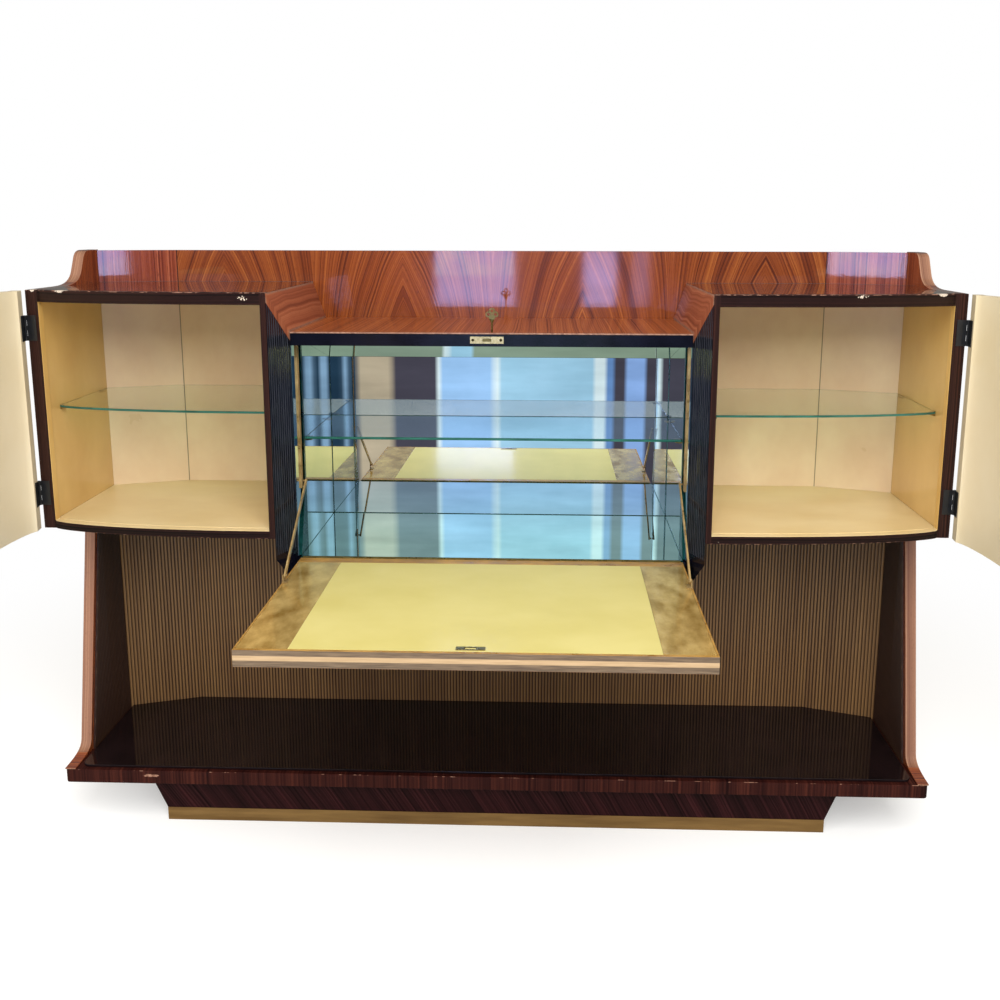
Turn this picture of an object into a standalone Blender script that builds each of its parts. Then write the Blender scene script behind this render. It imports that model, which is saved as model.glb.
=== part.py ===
"""Bar sideboard: two bow-fronted cabinets, a drop-flap bar between them, a lined niche and a plinth.

Metres, +Z up, the front faces -Y. The origin is on the floor under the middle of the carcass.
The flap and both doors stand open, as the piece is shown in use.
"""
import math

import bmesh
import bpy
from mathutils import Matrix, Vector

# Fits and shading
SEAT_GAP = 0.0003
OVERRUN = 0.004
SHARP_ANGLE = math.radians(40)

# Carcass
WIDTH = 2.000
BOARD_THICKNESS = 0.025
NICHE_HEIGHT = 0.587
CABINET_HEIGHT = 0.530
GALLERY_HEIGHT = 0.0765
BOARD_CREST = 0.002
BACK_DEPTH = 0.371
BACK_THICKNESS = 0.015
CANT_WIDTH = 0.1744
CANT_DEPTH = 0.057
PANEL_THICKNESS = 0.019

# Base
KICK_HEIGHT = 0.033
KICK_FRONT_RECESS = 0.060
KICK_END_INSET = 0.214
KICK_BACK_INSET = 0.020
KICK_SKIN = 0.0015
KICK_FLOOR_CLEARANCE = 0.0006
PLINTH_HEIGHT = 0.096
PLINTH_FLARE = 0.025
PLINTH_COVE = 0.016
PLINTH_COVE_RADIUS = 0.024
COVE_STEPS = 5
SLAB_THICKNESS = 0.0325
SLAB_CORNER_RADIUS = 0.010
GLASS_TOP_THICKNESS = 0.006
GLASS_TOP_RECESS = 0.012
GLASS_TOP_END_INSET = 0.034
GLASS_TOP_CORNER = 0.020

# Side boards
TOE_TIP_HEIGHT = 0.0025
TOE_LENGTH = 0.091
TOE_HEIGHT = 0.038
BOARD_LEAN = 0.1135
GALLERY_TOE_START = 0.130
GALLERY_TOE_END = 0.224
GALLERY_TOE_HEIGHT = 0.034
GALLERY_SHOULDER = 0.0565
GALLERY_CORNER_RUN = 0.040
GALLERY_NOSE = 0.012
TOE_PULL_SHARES = (0.82, 0.96, 0.32)
GALLERY_TOE_SHARES = (0.62, 0.88, 0.30)
GALLERY_CORNER_SHARES = (0.18, 0.80, 0.50)
CURVE_STEPS = 8

# Niche lining
LINING_THICKNESS = 0.004
LINING_REVEAL = 0.012

# Side cabinets
FRAME_SETBACK = 0.0025
FRAME_DEPTH = 0.020
BOW_DEPTH = 0.064
BOW_POWER = 2.4
BOW_ROUNDNESS = 0.7
BOW_STEPS = 14
OUTER_STILE = 0.027
INNER_STILE = 0.0127
TOP_RAIL = 0.0255
BOTTOM_RAIL = 0.018
CABINET_SIDE_THICKNESS = 0.012
GLASS_SHELF_THICKNESS = 0.005
SHELF_HEIGHT = 0.250
SHELF_SETBACK = 0.062
SHELF_END_PLAY = 0.0015
PEG_RADIUS = 0.0025
PEG_LENGTH = 0.010
PEG_SIDES = 8
PEG_FRONT_INSET = 0.015
PEG_BACK_INSET = 0.040

# Bar section
BAR_DROP = 0.088
BAR_FLOOR_DROP = 0.062
BAR_HALF_WIDTH = 0.4323
CHEEK_THICKNESS = 0.0297
BAR_RECESS = 0.0107
BAR_BOTTOM_DROP = 0.0728
SLOPE_PANEL_DROP = 0.020
BAR_TOP_THICKNESS = 0.016
BAR_TOP_LIP = 0.003
RAIL_HEIGHT = 0.0295
RAIL_DEPTH = 0.022
FLOOR_GLASS = 0.003
MIRROR_THICKNESS = 0.004
SIDE_MIRROR_THICKNESS = 0.006
SIDE_MIRROR_SETBACK = 0.063
CEILING_SETBACK = 0.051
CEILING_FALL = 0.082
BAR_SHELF_HEIGHT = 0.2535
BAR_SHELF_SETBACK = 0.086
BAR_SHELF_THICKNESS = 0.006

# Reeding
NICHE_REED_PITCH = 0.0081
RETURN_REED_PITCH = 0.0074
REED_DEPTH = 0.0017
REED_CROWN_SHARES = (0.3, 0.7)
RETURN_REED_MARGIN = 0.0025
REED_END_HEIGHT = 0.096

# Flap
FLAP_END_PLAY = 0.0078
FLAP_THICKNESS = 0.0324
FLAP_TOP_LIP = 0.003
HINGE_LINE_SETBACK = 0.0045
INLAY_THICKNESS = 0.0027
FLAP_MIRROR_WIDTH = 0.0925
PANEL_BACK_MARGIN = 0.034
PANEL_FRONT_MARGIN = 0.007
FLAP_BORDER = 0.004
STRIKE_LENGTH = 0.052
STRIKE_WIDTH = 0.014
STRIKE_THICKNESS = 0.0012

# Flap hinge
PIANO_END_INSET = 0.0045
PIANO_KNUCKLES = 28
PIANO_RADIUS = 0.0028
PIANO_PIN_RADIUS = 0.0012
PIANO_PIN_PLAY = 0.0002
PIANO_LEAF = 0.0012
PIANO_LEAF_WIDTH = 0.018
KNUCKLE_GAP = 0.0004
KNUCKLE_SIDES = 12

# Flap stays
STAY_PIVOT_REACH = 0.161
STAY_PIVOT_RISE = 0.0136
STAY_TRACK_DEPTH = 0.044
STAY_RISE = 0.150
STAY_THICKNESS = 0.0035
STAY_WIDTH = 0.009
STAY_EYE_RADIUS = 0.0055
STAY_PIN_RADIUS = 0.002
STAY_PIN_PLAY = 0.0003
STAY_HEAD_RADIUS = 0.0036
STAY_HEAD_THICKNESS = 0.0012
STAY_SIDE_PLAY = 0.0006
STAY_STUD_LENGTH = 0.005
STAY_STUD_PLAY = 0.0018
ROUND_SIDES = 12
TRACK_WIDTH = 0.014
TRACK_THICKNESS = 0.0042
TRACK_GROOVE = 0.007
TRACK_GROOVE_DEPTH = 0.003
TRACK_BELOW = 0.016
TRACK_TOP_INSET = 0.001
BRACKET_EAR = 0.0018
BRACKET_LENGTH = 0.022
BRACKET_WIDTH = 0.011
BRACKET_BASE = 0.0015

# Lock and key
LOCK_CENTRE_X = -0.0075
LOCK_CENTRE_DROP = 0.0155
LOCK_PLATE_LENGTH = 0.072
LOCK_PLATE_HEIGHT = 0.015
LOCK_PLATE_THICKNESS = 0.0012
LOCK_CASE_LENGTH = 0.058
LOCK_CASE_HEIGHT = 0.011
LOCK_CASE_DEPTH = 0.0150
LOCK_PLAY = 0.0004
BOLT_LENGTH = 0.018
BOLT_HEIGHT = 0.006
BOLT_DEPTH = 0.0055
BOLT_THROW = 0.0065
KEY_X = 0.003
KEY_SETBACK = 0.0100
KEY_SHAFT_RADIUS = 0.0022
KEY_BORE_PLAY = 0.0005
KEY_DEPTH = 0.0185
KEY_SHAFT_RISE = 0.028
KEY_COLLAR_RADIUS = 0.0045
KEY_COLLAR_HEIGHT = 0.005
KEY_BOW_RADIUS = 0.0065
KEY_BOW_OFFSET = 0.0075
KEY_BOW_HOLE = 0.0032
KEY_BOW_THICKNESS = 0.004

# Doors
DOOR_THICKNESS = 0.020
DOOR_GAP = 0.003
DOOR_REVEAL = 0.001
LEFT_DOOR_ANGLE = math.radians(80)
RIGHT_DOOR_ANGLE = math.radians(84)
DOOR_HINGE_REACH = 0.0035
DOOR_HINGE_DEPTH = 0.0015
BUTT_HEIGHT = 0.055
BUTT_LEAF_WIDTH = 0.020
BUTT_LEAF = 0.001
BUTT_RADIUS = 0.003
BUTT_PIN_RADIUS = 0.0013
BUTT_PIN_PLAY = 0.0002
BUTT_KNUCKLES = 5
BUTT_TOP_INSET = 0.0545
BUTT_BOTTOM_INSET = 0.0535
KEYHOLE_RADIUS = 0.0025
KEYHOLE_INSET = 0.030

# Finishes: colour, roughness, metallic
FINISHES = {
    "rosewood": ((0.25, 0.07, 0.03), 0.18, 0.0),
    "dark_rosewood": ((0.06, 0.02, 0.015), 0.2, 0.0),
    "blond_veneer": ((0.76, 0.58, 0.34), 0.35, 0.0),
    "reeded_walnut": ((0.08, 0.045, 0.03), 0.35, 0.0),
    "black_lacquer": ((0.008, 0.008, 0.011), 0.15, 0.0),
    "black_glass": ((0.01, 0.008, 0.009), 0.03, 0.0),
    "brass": ((0.55, 0.42, 0.2), 0.3, 1.0),
    "black_iron": ((0.015, 0.015, 0.016), 0.5, 1.0),
    "clear_glass": ((0.35, 0.5, 0.4), 0.03, 0.0),
    "mirror": ((0.8, 0.82, 0.8), 0.02, 1.0),
    "gold_mirror": ((0.5, 0.38, 0.16), 0.1, 1.0),
    "yellow_laminate": ((0.82, 0.72, 0.25), 0.3, 0.0),
}

# Places worked out from the sizes above
HALF_WIDTH = WIDTH / 2
BOARD_INNER_X = HALF_WIDTH - BOARD_THICKNESS
SLAB_DEPTH = BACK_DEPTH + BACK_THICKNESS
FRONT = -SLAB_DEPTH / 2
BACK_FACE = FRONT + BACK_DEPTH
BACK_OUTER = BACK_FACE + BACK_THICKNESS
CANT_X = BOARD_INNER_X - CANT_WIDTH
CANT_CORNER = BACK_FACE - CANT_DEPTH
CANT_SLOPE = CANT_DEPTH / CANT_WIDTH
CANT_SECANT = math.hypot(1, CANT_SLOPE)
MITRE_SHARE = (CANT_SECANT - 1) / CANT_SLOPE
BOARD_BACK = CANT_CORNER + BACK_THICKNESS * CANT_SECANT - BOARD_THICKNESS * CANT_SLOPE
SLAB_BOTTOM = KICK_HEIGHT + PLINTH_HEIGHT
SLAB_TOP = SLAB_BOTTOM + SLAB_THICKNESS
CABINET_BOTTOM = SLAB_TOP + NICHE_HEIGHT
CABINET_TOP = CABINET_BOTTOM + CABINET_HEIGHT
GALLERY_TOP = CABINET_TOP + GALLERY_HEIGHT
BOARD_TOP = GALLERY_TOP + BOARD_CREST
FRAME_FRONT = FRONT + FRAME_SETBACK
FRAME_FLAT_X = HALF_WIDTH - OUTER_STILE
CABINET_INNER_X = BAR_HALF_WIDTH + CHEEK_THICKNESS
CABINET_WALL_X = CABINET_INNER_X + SEAT_GAP
CABINET_SIDE_INNER_X = CABINET_WALL_X + CABINET_SIDE_THICKNESS
CABINET_FLOOR_TOP = CABINET_BOTTOM + PANEL_THICKNESS
CABINET_CEILING = CABINET_TOP - PANEL_THICKNESS
SHELF_BOTTOM = CABINET_FLOOR_TOP + SHELF_HEIGHT - GLASS_SHELF_THICKNESS
PEG_Z = SHELF_BOTTOM - SEAT_GAP - PEG_RADIUS
BAR_TOP = CABINET_TOP - BAR_DROP
BAR_FRONT = FRONT + BAR_RECESS
BAR_SLOPE = BAR_DROP / CHEEK_THICKNESS
RAIL_BOTTOM = BAR_TOP - RAIL_HEIGHT
BAR_CEILING = BAR_TOP - BAR_TOP_THICKNESS
HINGE_Y = BAR_FRONT - HINGE_LINE_SETBACK
BAR_FLOOR = CABINET_BOTTOM - BAR_FLOOR_DROP
BAR_BOTTOM = BAR_FLOOR - BAR_BOTTOM_DROP
CHEEK_FOOT = BAR_BOTTOM + BAR_DROP
REED_END = BAR_BOTTOM + REED_END_HEIGHT
BAR_INNER_X = BAR_HALF_WIDTH - SEAT_GAP
SIDE_MIRROR_X = BAR_INNER_X - SIDE_MIRROR_THICKNESS
BACK_MIRROR_FACE = BACK_FACE - SEAT_GAP - MIRROR_THICKNESS
BAR_SHELF_BOTTOM = BAR_FLOOR + BAR_SHELF_HEIGHT - BAR_SHELF_THICKNESS / 2
CEILING_BACK = BAR_CEILING - SEAT_GAP - CEILING_FALL
DOOR_AXIS_X = HALF_WIDTH + DOOR_HINGE_REACH
DOOR_AXIS_Y = FRAME_FRONT - DOOR_HINGE_DEPTH
LOCK_Z = BAR_TOP - LOCK_CENTRE_DROP
KEY_Y = BAR_FRONT + KEY_SETBACK
FLAP_LENGTH = BAR_TOP + FLAP_TOP_LIP - BAR_FLOOR
FLAP_HALF_WIDTH = BAR_HALF_WIDTH - FLAP_END_PLAY
PANEL_HALF_WIDTH = FLAP_HALF_WIDTH - FLAP_BORDER - FLAP_MIRROR_WIDTH
PIANO_LENGTH = 2 * (FLAP_HALF_WIDTH - PIANO_END_INSET)
STAY_X = BAR_INNER_X - TRACK_THICKNESS - STAY_STUD_PLAY - STAY_STUD_LENGTH - STAY_THICKNESS / 2
STAY_PIVOT_Y = HINGE_Y - STAY_PIVOT_REACH
STAY_PIVOT_Z = BAR_FLOOR + STAY_PIVOT_RISE
STAY_TOP_Y = BAR_FRONT + STAY_TRACK_DEPTH
STAY_TOP_Z = STAY_PIVOT_Z + STAY_RISE


def finish(name):
    """Return the named material, made once."""
    material = bpy.data.materials.get(name)
    if material is None:
        colour, roughness, metallic = FINISHES[name]
        material = bpy.data.materials.new(name)
        material.use_nodes = True
        shader = material.node_tree.nodes["Principled BSDF"]
        shader.inputs["Base Color"].default_value = (*colour, 1.0)
        shader.inputs["Roughness"].default_value = roughness
        shader.inputs["Metallic"].default_value = metallic
    return material


def solid(name, outline, travel, finish_name):
    """Make a closed solid from a flat outline of 3-D points pushed along a vector."""
    form = bmesh.new()
    lower = [form.verts.new(point) for point in outline]
    upper = [form.verts.new(Vector(point) + Vector(travel)) for point in outline]
    form.faces.new(list(reversed(lower)))
    form.faces.new(upper)
    for index, corner in enumerate(lower):
        after = (index + 1) % len(lower)
        form.faces.new((corner, lower[after], upper[after], upper[index]))
    bmesh.ops.recalc_face_normals(form, faces=form.faces)
    mesh = bpy.data.meshes.new(name)
    form.to_mesh(mesh)
    form.free()
    mesh.materials.append(finish(finish_name))
    piece = bpy.data.objects.new(name, mesh)
    bpy.context.scene.collection.objects.link(piece)
    return piece


def plan(name, outline, low, high, finish_name):
    """Push a plan outline of (x, y) points up from low to high."""
    return solid(name, [(x, y, low) for x, y in outline], (0, 0, high - low), finish_name)


def side_profile(name, outline, start_x, end_x, finish_name):
    """Push a side outline of (y, z) points from start_x to end_x."""
    return solid(name, [(start_x, y, z) for y, z in outline], (end_x - start_x, 0, 0), finish_name)


def front_profile(name, outline, start_y, end_y, finish_name):
    """Push a front outline of (x, z) points from start_y to end_y."""
    return solid(name, [(x, start_y, z) for x, z in outline], (0, end_y - start_y, 0), finish_name)


def block(name, low, high, finish_name):
    """Make a box between two corners, given in any order of size."""
    outline = [(low[0], low[1]), (high[0], low[1]), (high[0], high[1]), (low[0], high[1])]
    return plan(name, outline, low[2], high[2], finish_name)


def rod(name, start, travel, radius, sides, finish_name):
    """Make a round rod from a start point along a vector."""
    direction = Vector(travel).normalized()
    across = direction.orthogonal().normalized()
    along = direction.cross(across)
    ring = []
    for index in range(sides):
        angle = math.tau * (index + 0.5) / sides
        ring.append(Vector(start) + radius * (math.cos(angle) * across + math.sin(angle) * along))
    piece = solid(name, ring, travel, finish_name)
    piece.data.shade_smooth()
    piece.data.set_sharp_from_angle(angle=SHARP_ANGLE)
    return piece


def combine(piece, other, operation):
    """Add or cut one solid with another, which is kept as a hidden guide."""
    other.hide_render = True
    other.display_type = "WIRE"
    boolean = piece.modifiers.new(other.name, "BOOLEAN")
    boolean.object = other
    boolean.operation = operation
    boolean.solver = "EXACT"


def add(piece, *others):
    """Join other solids to a piece."""
    for other in others:
        combine(piece, other, "UNION")


def cut(piece, *others):
    """Cut other solids out of a piece."""
    for other in others:
        combine(piece, other, "DIFFERENCE")


def bezier(start, first, second, end, steps):
    """Points of a cubic curve after its start, up to and with its end."""
    points = []
    for index in range(1, steps + 1):
        share = index / steps
        rest = 1 - share
        points.append(tuple(
            rest ** 3 * a + 3 * rest ** 2 * share * b + 3 * rest * share ** 2 * c + share ** 3 * d
            for a, b, c, d in zip(start, first, second, end)))
    return points


def side_name(side):
    """Word for a side: -1 is left, 1 is right."""
    return "left" if side < 0 else "right"


def bow(x):
    """Y of the face frame's front at a distance x from the middle of the piece."""
    share = (min(x, FRAME_FLAT_X) - CABINET_INNER_X) / (FRAME_FLAT_X - CABINET_INNER_X)
    return FRAME_FRONT - BOW_DEPTH * (1 - max(share, 0) ** BOW_POWER) ** BOW_ROUNDNESS


def bow_line(start_x, end_x, offset):
    """Points along the bow front from start_x out to end_x, shifted back by offset."""
    points = []
    for index in range(BOW_STEPS + 1):
        share = math.sin(math.pi / 2 * index / BOW_STEPS)
        x = start_x + (min(end_x, FRAME_FLAT_X) - start_x) * share
        points.append((x, bow(x) + offset))
    if end_x > FRAME_FLAT_X:
        points.append((end_x, bow(end_x) + offset))
    return points


def cant_y(x):
    """Y of the back's front face at a distance x from the middle."""
    return BACK_FACE - max(x - CANT_X, 0) * CANT_SLOPE


def mirrored(outline, side):
    """Outline points for one side of the piece."""
    return [(side * x, y) for x, y in outline]


def back_line(offset, start_x, end_x):
    """Plan points of the bent back's right half, offset behind its front face."""
    return [(start_x, BACK_FACE + offset), (CANT_X + offset * MITRE_SHARE, BACK_FACE + offset),
            (end_x, cant_y(end_x) + offset * CANT_SECANT)]


def back_outline(inner_x, outer_x, side):
    """Plan of a bent back panel on one side that starts at inner_x and reaches outer_x."""
    front = back_line(0, inner_x, outer_x)
    return mirrored(front + list(reversed(back_line(BACK_THICKNESS, inner_x, outer_x))), side)


def both_sides(half):
    """Plan across both sides, from the points of its right half off the middle line."""
    return half + [(-x, y) for x, y in reversed(half)]


def reed_line(crowns, grooves, pitch):
    """Reeds along a line of corners, between a line on their crowns and one in their grooves."""
    points = [grooves[0]]
    for index in range(len(crowns) - 1):
        crown_start, crown_end = Vector(crowns[index]), Vector(crowns[index + 1])
        groove_start, groove_end = Vector(grooves[index]), Vector(grooves[index + 1])
        reeds = max(round((crown_end - crown_start).length / pitch), 1)
        for reed in range(reeds):
            for share in REED_CROWN_SHARES:
                points.append(tuple(crown_start.lerp(crown_end, (reed + share) / reeds)))
            points.append(tuple(groove_start.lerp(groove_end, (reed + 1) / reeds)))
    return points


def build_base():
    """Brass kick strip, the flared plinth on its recessed foot, the slab and its black glass."""
    foot_x = HALF_WIDTH - KICK_END_INSET
    foot_front = FRONT + KICK_FRONT_RECESS
    foot_back = BACK_OUTER - KICK_BACK_INSET
    core_x = foot_x - KICK_SKIN - SEAT_GAP
    core_front = foot_front + KICK_SKIN + SEAT_GAP
    foot = block("plinth_foot", (-core_x, core_front, 0), (core_x, foot_back, KICK_HEIGHT + OVERRUN),
                 "dark_rosewood")
    skin_x = foot_x - KICK_SKIN
    skin_front = foot_front + KICK_SKIN
    skin = [(-foot_x, foot_back), (-foot_x, foot_front), (foot_x, foot_front), (foot_x, foot_back),
            (skin_x, foot_back), (skin_x, skin_front), (-skin_x, skin_front), (-skin_x, foot_back)]
    plan("kick_strip", skin, KICK_FLOOR_CLEARANCE, KICK_HEIGHT - SEAT_GAP, "brass")

    levels = [(0, KICK_HEIGHT)]
    cove_start = SLAB_BOTTOM - PLINTH_COVE_RADIUS
    flare_share = (cove_start - KICK_HEIGHT) / PLINTH_HEIGHT
    for index in range(COVE_STEPS + 1):
        turn = math.pi / 2 * index / COVE_STEPS
        rise = PLINTH_COVE_RADIUS * math.sin(turn)
        spread = PLINTH_COVE * (1 - math.cos(turn))
        share = flare_share + (1 - flare_share) * rise / PLINTH_COVE_RADIUS
        levels.append((PLINTH_FLARE * share + spread, cove_start + rise))
    levels[-1] = (levels[-1][0], SLAB_BOTTOM - SEAT_GAP)
    add(stack_rectangles("plinth", levels, foot_x, foot_front, foot_back, "dark_rosewood"), foot)

    slab_outline = [(-HALF_WIDTH, BOARD_BACK), *rounded_front(HALF_WIDTH, FRONT, SLAB_CORNER_RADIUS),
                    (HALF_WIDTH, BOARD_BACK), (CANT_X, BACK_OUTER), (-CANT_X, BACK_OUTER)]
    plan("base_slab", slab_outline, SLAB_BOTTOM, SLAB_TOP, "dark_rosewood")

    glass_x = HALF_WIDTH - GLASS_TOP_END_INSET
    glass_front = FRONT + GLASS_TOP_RECESS
    back_gap = 2 * SEAT_GAP
    glass_outline = [(-glass_x, cant_y(glass_x) - back_gap),
                     *rounded_front(glass_x, glass_front, GLASS_TOP_CORNER),
                     (glass_x, cant_y(glass_x) - back_gap),
                     (CANT_X, BACK_FACE - back_gap), (-CANT_X, BACK_FACE - back_gap)]
    plan("niche_glass_top", glass_outline, SLAB_TOP + SEAT_GAP, SLAB_TOP + GLASS_TOP_THICKNESS, "black_glass")


def rounded_front(half_x, front_y, radius):
    """Front edge from left to right with a round corner at each end."""
    points = []
    for side in (-1, 1):
        arc = []
        for index in range(CURVE_STEPS + 1):
            turn = math.pi / 2 * index / CURVE_STEPS
            arc.append((side * (half_x - radius + radius * math.cos(turn)),
                        front_y + radius - radius * math.sin(turn)))
        points += arc if side < 0 else list(reversed(arc))
    return points


def stack_rectangles(name, levels, half_x, front_y, back_y, finish_name):
    """Loft rectangles that grow by each level's (spread, z) pair."""
    form = bmesh.new()
    rings = []
    for spread, z in levels:
        x = half_x + spread
        corners = [(-x, front_y - spread), (x, front_y - spread), (x, back_y), (-x, back_y)]
        rings.append([form.verts.new((*corner, z)) for corner in corners])
    form.faces.new(list(reversed(rings[0])))
    form.faces.new(rings[-1])
    for lower, upper in zip(rings, rings[1:]):
        for index, corner in enumerate(lower):
            after = (index + 1) % len(lower)
            form.faces.new((corner, lower[after], upper[after], upper[index]))
    bmesh.ops.recalc_face_normals(form, faces=form.faces)
    mesh = bpy.data.meshes.new(name)
    form.to_mesh(mesh)
    form.free()
    mesh.materials.append(finish(finish_name))
    piece = bpy.data.objects.new(name, mesh)
    bpy.context.scene.collection.objects.link(piece)
    return piece


def build_side_boards():
    """The two end boards: a swept toe, a leaning front edge and a curled gallery end."""
    tip = (FRONT, SLAB_TOP + SEAT_GAP + TOE_TIP_HEIGHT)
    heel = (FRONT + TOE_LENGTH, SLAB_TOP + TOE_HEIGHT)
    flat_share, steep_share, lift_share = TOE_PULL_SHARES
    toe = bezier(tip, (FRONT + flat_share * TOE_LENGTH, tip[1]),
                 (FRONT + steep_share * TOE_LENGTH, SLAB_TOP + lift_share * TOE_HEIGHT), heel, CURVE_STEPS)
    under = (heel[0] + BOARD_LEAN, CABINET_BOTTOM)
    behind_frame = FRAME_FRONT + FRAME_DEPTH + SEAT_GAP
    start = (FRONT + GALLERY_TOE_START, CABINET_TOP)
    end = (FRONT + GALLERY_TOE_END, CABINET_TOP + GALLERY_TOE_HEIGHT)
    run = end[0] - start[0]
    flat_share, steep_share, lift_share = GALLERY_TOE_SHARES
    steep = (start[0] + steep_share * run, start[1] + lift_share * GALLERY_TOE_HEIGHT)
    gallery_toe = bezier(start, (start[0] + flat_share * run, start[1]), steep, end, CURVE_STEPS)
    shoulder = (end[0] + GALLERY_NOSE, CABINET_TOP + GALLERY_SHOULDER)
    crest = (shoulder[0] + GALLERY_CORNER_RUN, BOARD_TOP)
    rise = BOARD_TOP - shoulder[1]
    run_share, rise_share, end_share = GALLERY_CORNER_SHARES
    corner = bezier(shoulder, (shoulder[0] + run_share * GALLERY_CORNER_RUN, shoulder[1] + rise_share * rise),
                    (shoulder[0] + end_share * GALLERY_CORNER_RUN, BOARD_TOP), crest, CURVE_STEPS)
    outline = [(FRONT, SLAB_TOP + SEAT_GAP), tip, *toe, under, (behind_frame, CABINET_BOTTOM),
               (behind_frame, CABINET_TOP), start, *gallery_toe, shoulder, *corner,
               (BOARD_BACK, BOARD_TOP), (BOARD_BACK, SLAB_TOP + SEAT_GAP)]
    for side in (-1, 1):
        name = "side_board_" + side_name(side)
        board = side_profile(name, outline, side * BOARD_INNER_X, side * HALF_WIDTH, "rosewood")
        for index, y in enumerate(shelf_peg_places(BOARD_INNER_X - SHELF_END_PLAY)):
            peg = rod(f"{name}_peg_{index}", (side * (BOARD_INNER_X + PEG_LENGTH), y, PEG_Z),
                      (-side * 2 * PEG_LENGTH, 0, 0), PEG_RADIUS, PEG_SIDES, "brass")
            add(board, peg)


def shelf_peg_places(x):
    """Y of the front and back shelf pegs at a distance x from the middle."""
    return (bow(x) + SHELF_SETBACK + PEG_FRONT_INSET, cant_y(x) - PEG_BACK_INSET)


def lining_corners(offset):
    """Corners of the niche's lining from its right front edge round to its left, offset into the walls."""
    wall_x = BOARD_INNER_X - SEAT_GAP - LINING_THICKNESS + offset
    seam, corner = back_line(offset, 0, wall_x)[1:]
    return both_sides([(wall_x, FRONT), corner, seam])


def build_backs():
    """Bent back panels: the niche's back with its reeded lining, the gallery and the cabinet backs."""
    reach = BOARD_INNER_X - SEAT_GAP
    low = SLAB_TOP + SEAT_GAP
    high = CABINET_BOTTOM - SEAT_GAP
    reeds = reed_line(lining_corners(0), lining_corners(REED_DEPTH), NICHE_REED_PITCH)
    lining = plan("niche_lining", reeds + list(reversed(lining_corners(LINING_THICKNESS))), low, high,
                  "reeded_walnut")
    rear = list(reversed(back_line(BACK_THICKNESS, 0, reach)[1:]))
    front = back_line(LINING_THICKNESS + SEAT_GAP, 0, reach)[1:]
    niche_back = plan("niche_back", both_sides(front + rear), low, high, "dark_rosewood")
    heel = FRONT + TOE_LENGTH + LINING_REVEAL
    lean_share = NICHE_HEIGHT / (NICHE_HEIGHT - TOE_HEIGHT)
    low_y = heel + BOARD_LEAN * (1 - lean_share)
    high_y = heel + BOARD_LEAN
    ahead = FRONT - OVERRUN
    low_z = SLAB_TOP - OVERRUN
    high_z = CABINET_BOTTOM + OVERRUN
    cut(lining, side_profile("lining_lean_cutter", [(ahead, low_z), (low_y, low_z), (high_y, high_z),
                                                    (ahead, high_z)], -HALF_WIDTH, HALF_WIDTH, "brass"))
    notch = [(CABINET_WALL_X, high_z), (CABINET_WALL_X, CHEEK_FOOT),
             (BAR_HALF_WIDTH + SEAT_GAP - SEAT_GAP / BAR_SLOPE, BAR_BOTTOM - SEAT_GAP)]
    notch_cutter = front_profile("bar_notch_cutter", both_sides(notch), CANT_CORNER, BACK_OUTER + OVERRUN,
                                 "brass")
    cut(lining, notch_cutter)
    cut(niche_back, notch_cutter)

    half = back_line(0, 0, reach)[1:] + rear
    gallery = plan("gallery_back", both_sides(half), BAR_BOTTOM, GALLERY_TOP, "rosewood")
    far_x = HALF_WIDTH + OVERRUN
    shoulder_z = CABINET_TOP + SEAT_GAP
    below_z = BAR_BOTTOM - OVERRUN
    for side in (-1, 1):
        beside_bar = [(CABINET_INNER_X, shoulder_z), (far_x, shoulder_z), (far_x, below_z),
                      (BAR_HALF_WIDTH, below_z), (BAR_HALF_WIDTH, BAR_BOTTOM), (CABINET_INNER_X, CHEEK_FOOT)]
        cut(gallery, front_profile("gallery_cutter_" + side_name(side), mirrored(beside_bar, side),
                                   CANT_CORNER - OVERRUN, BACK_OUTER + OVERRUN, "brass"))
        plan("cabinet_back_" + side_name(side), back_outline(CABINET_WALL_X, reach, side),
             CABINET_FLOOR_TOP + SEAT_GAP, CABINET_CEILING - SEAT_GAP, "blond_veneer")


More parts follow.
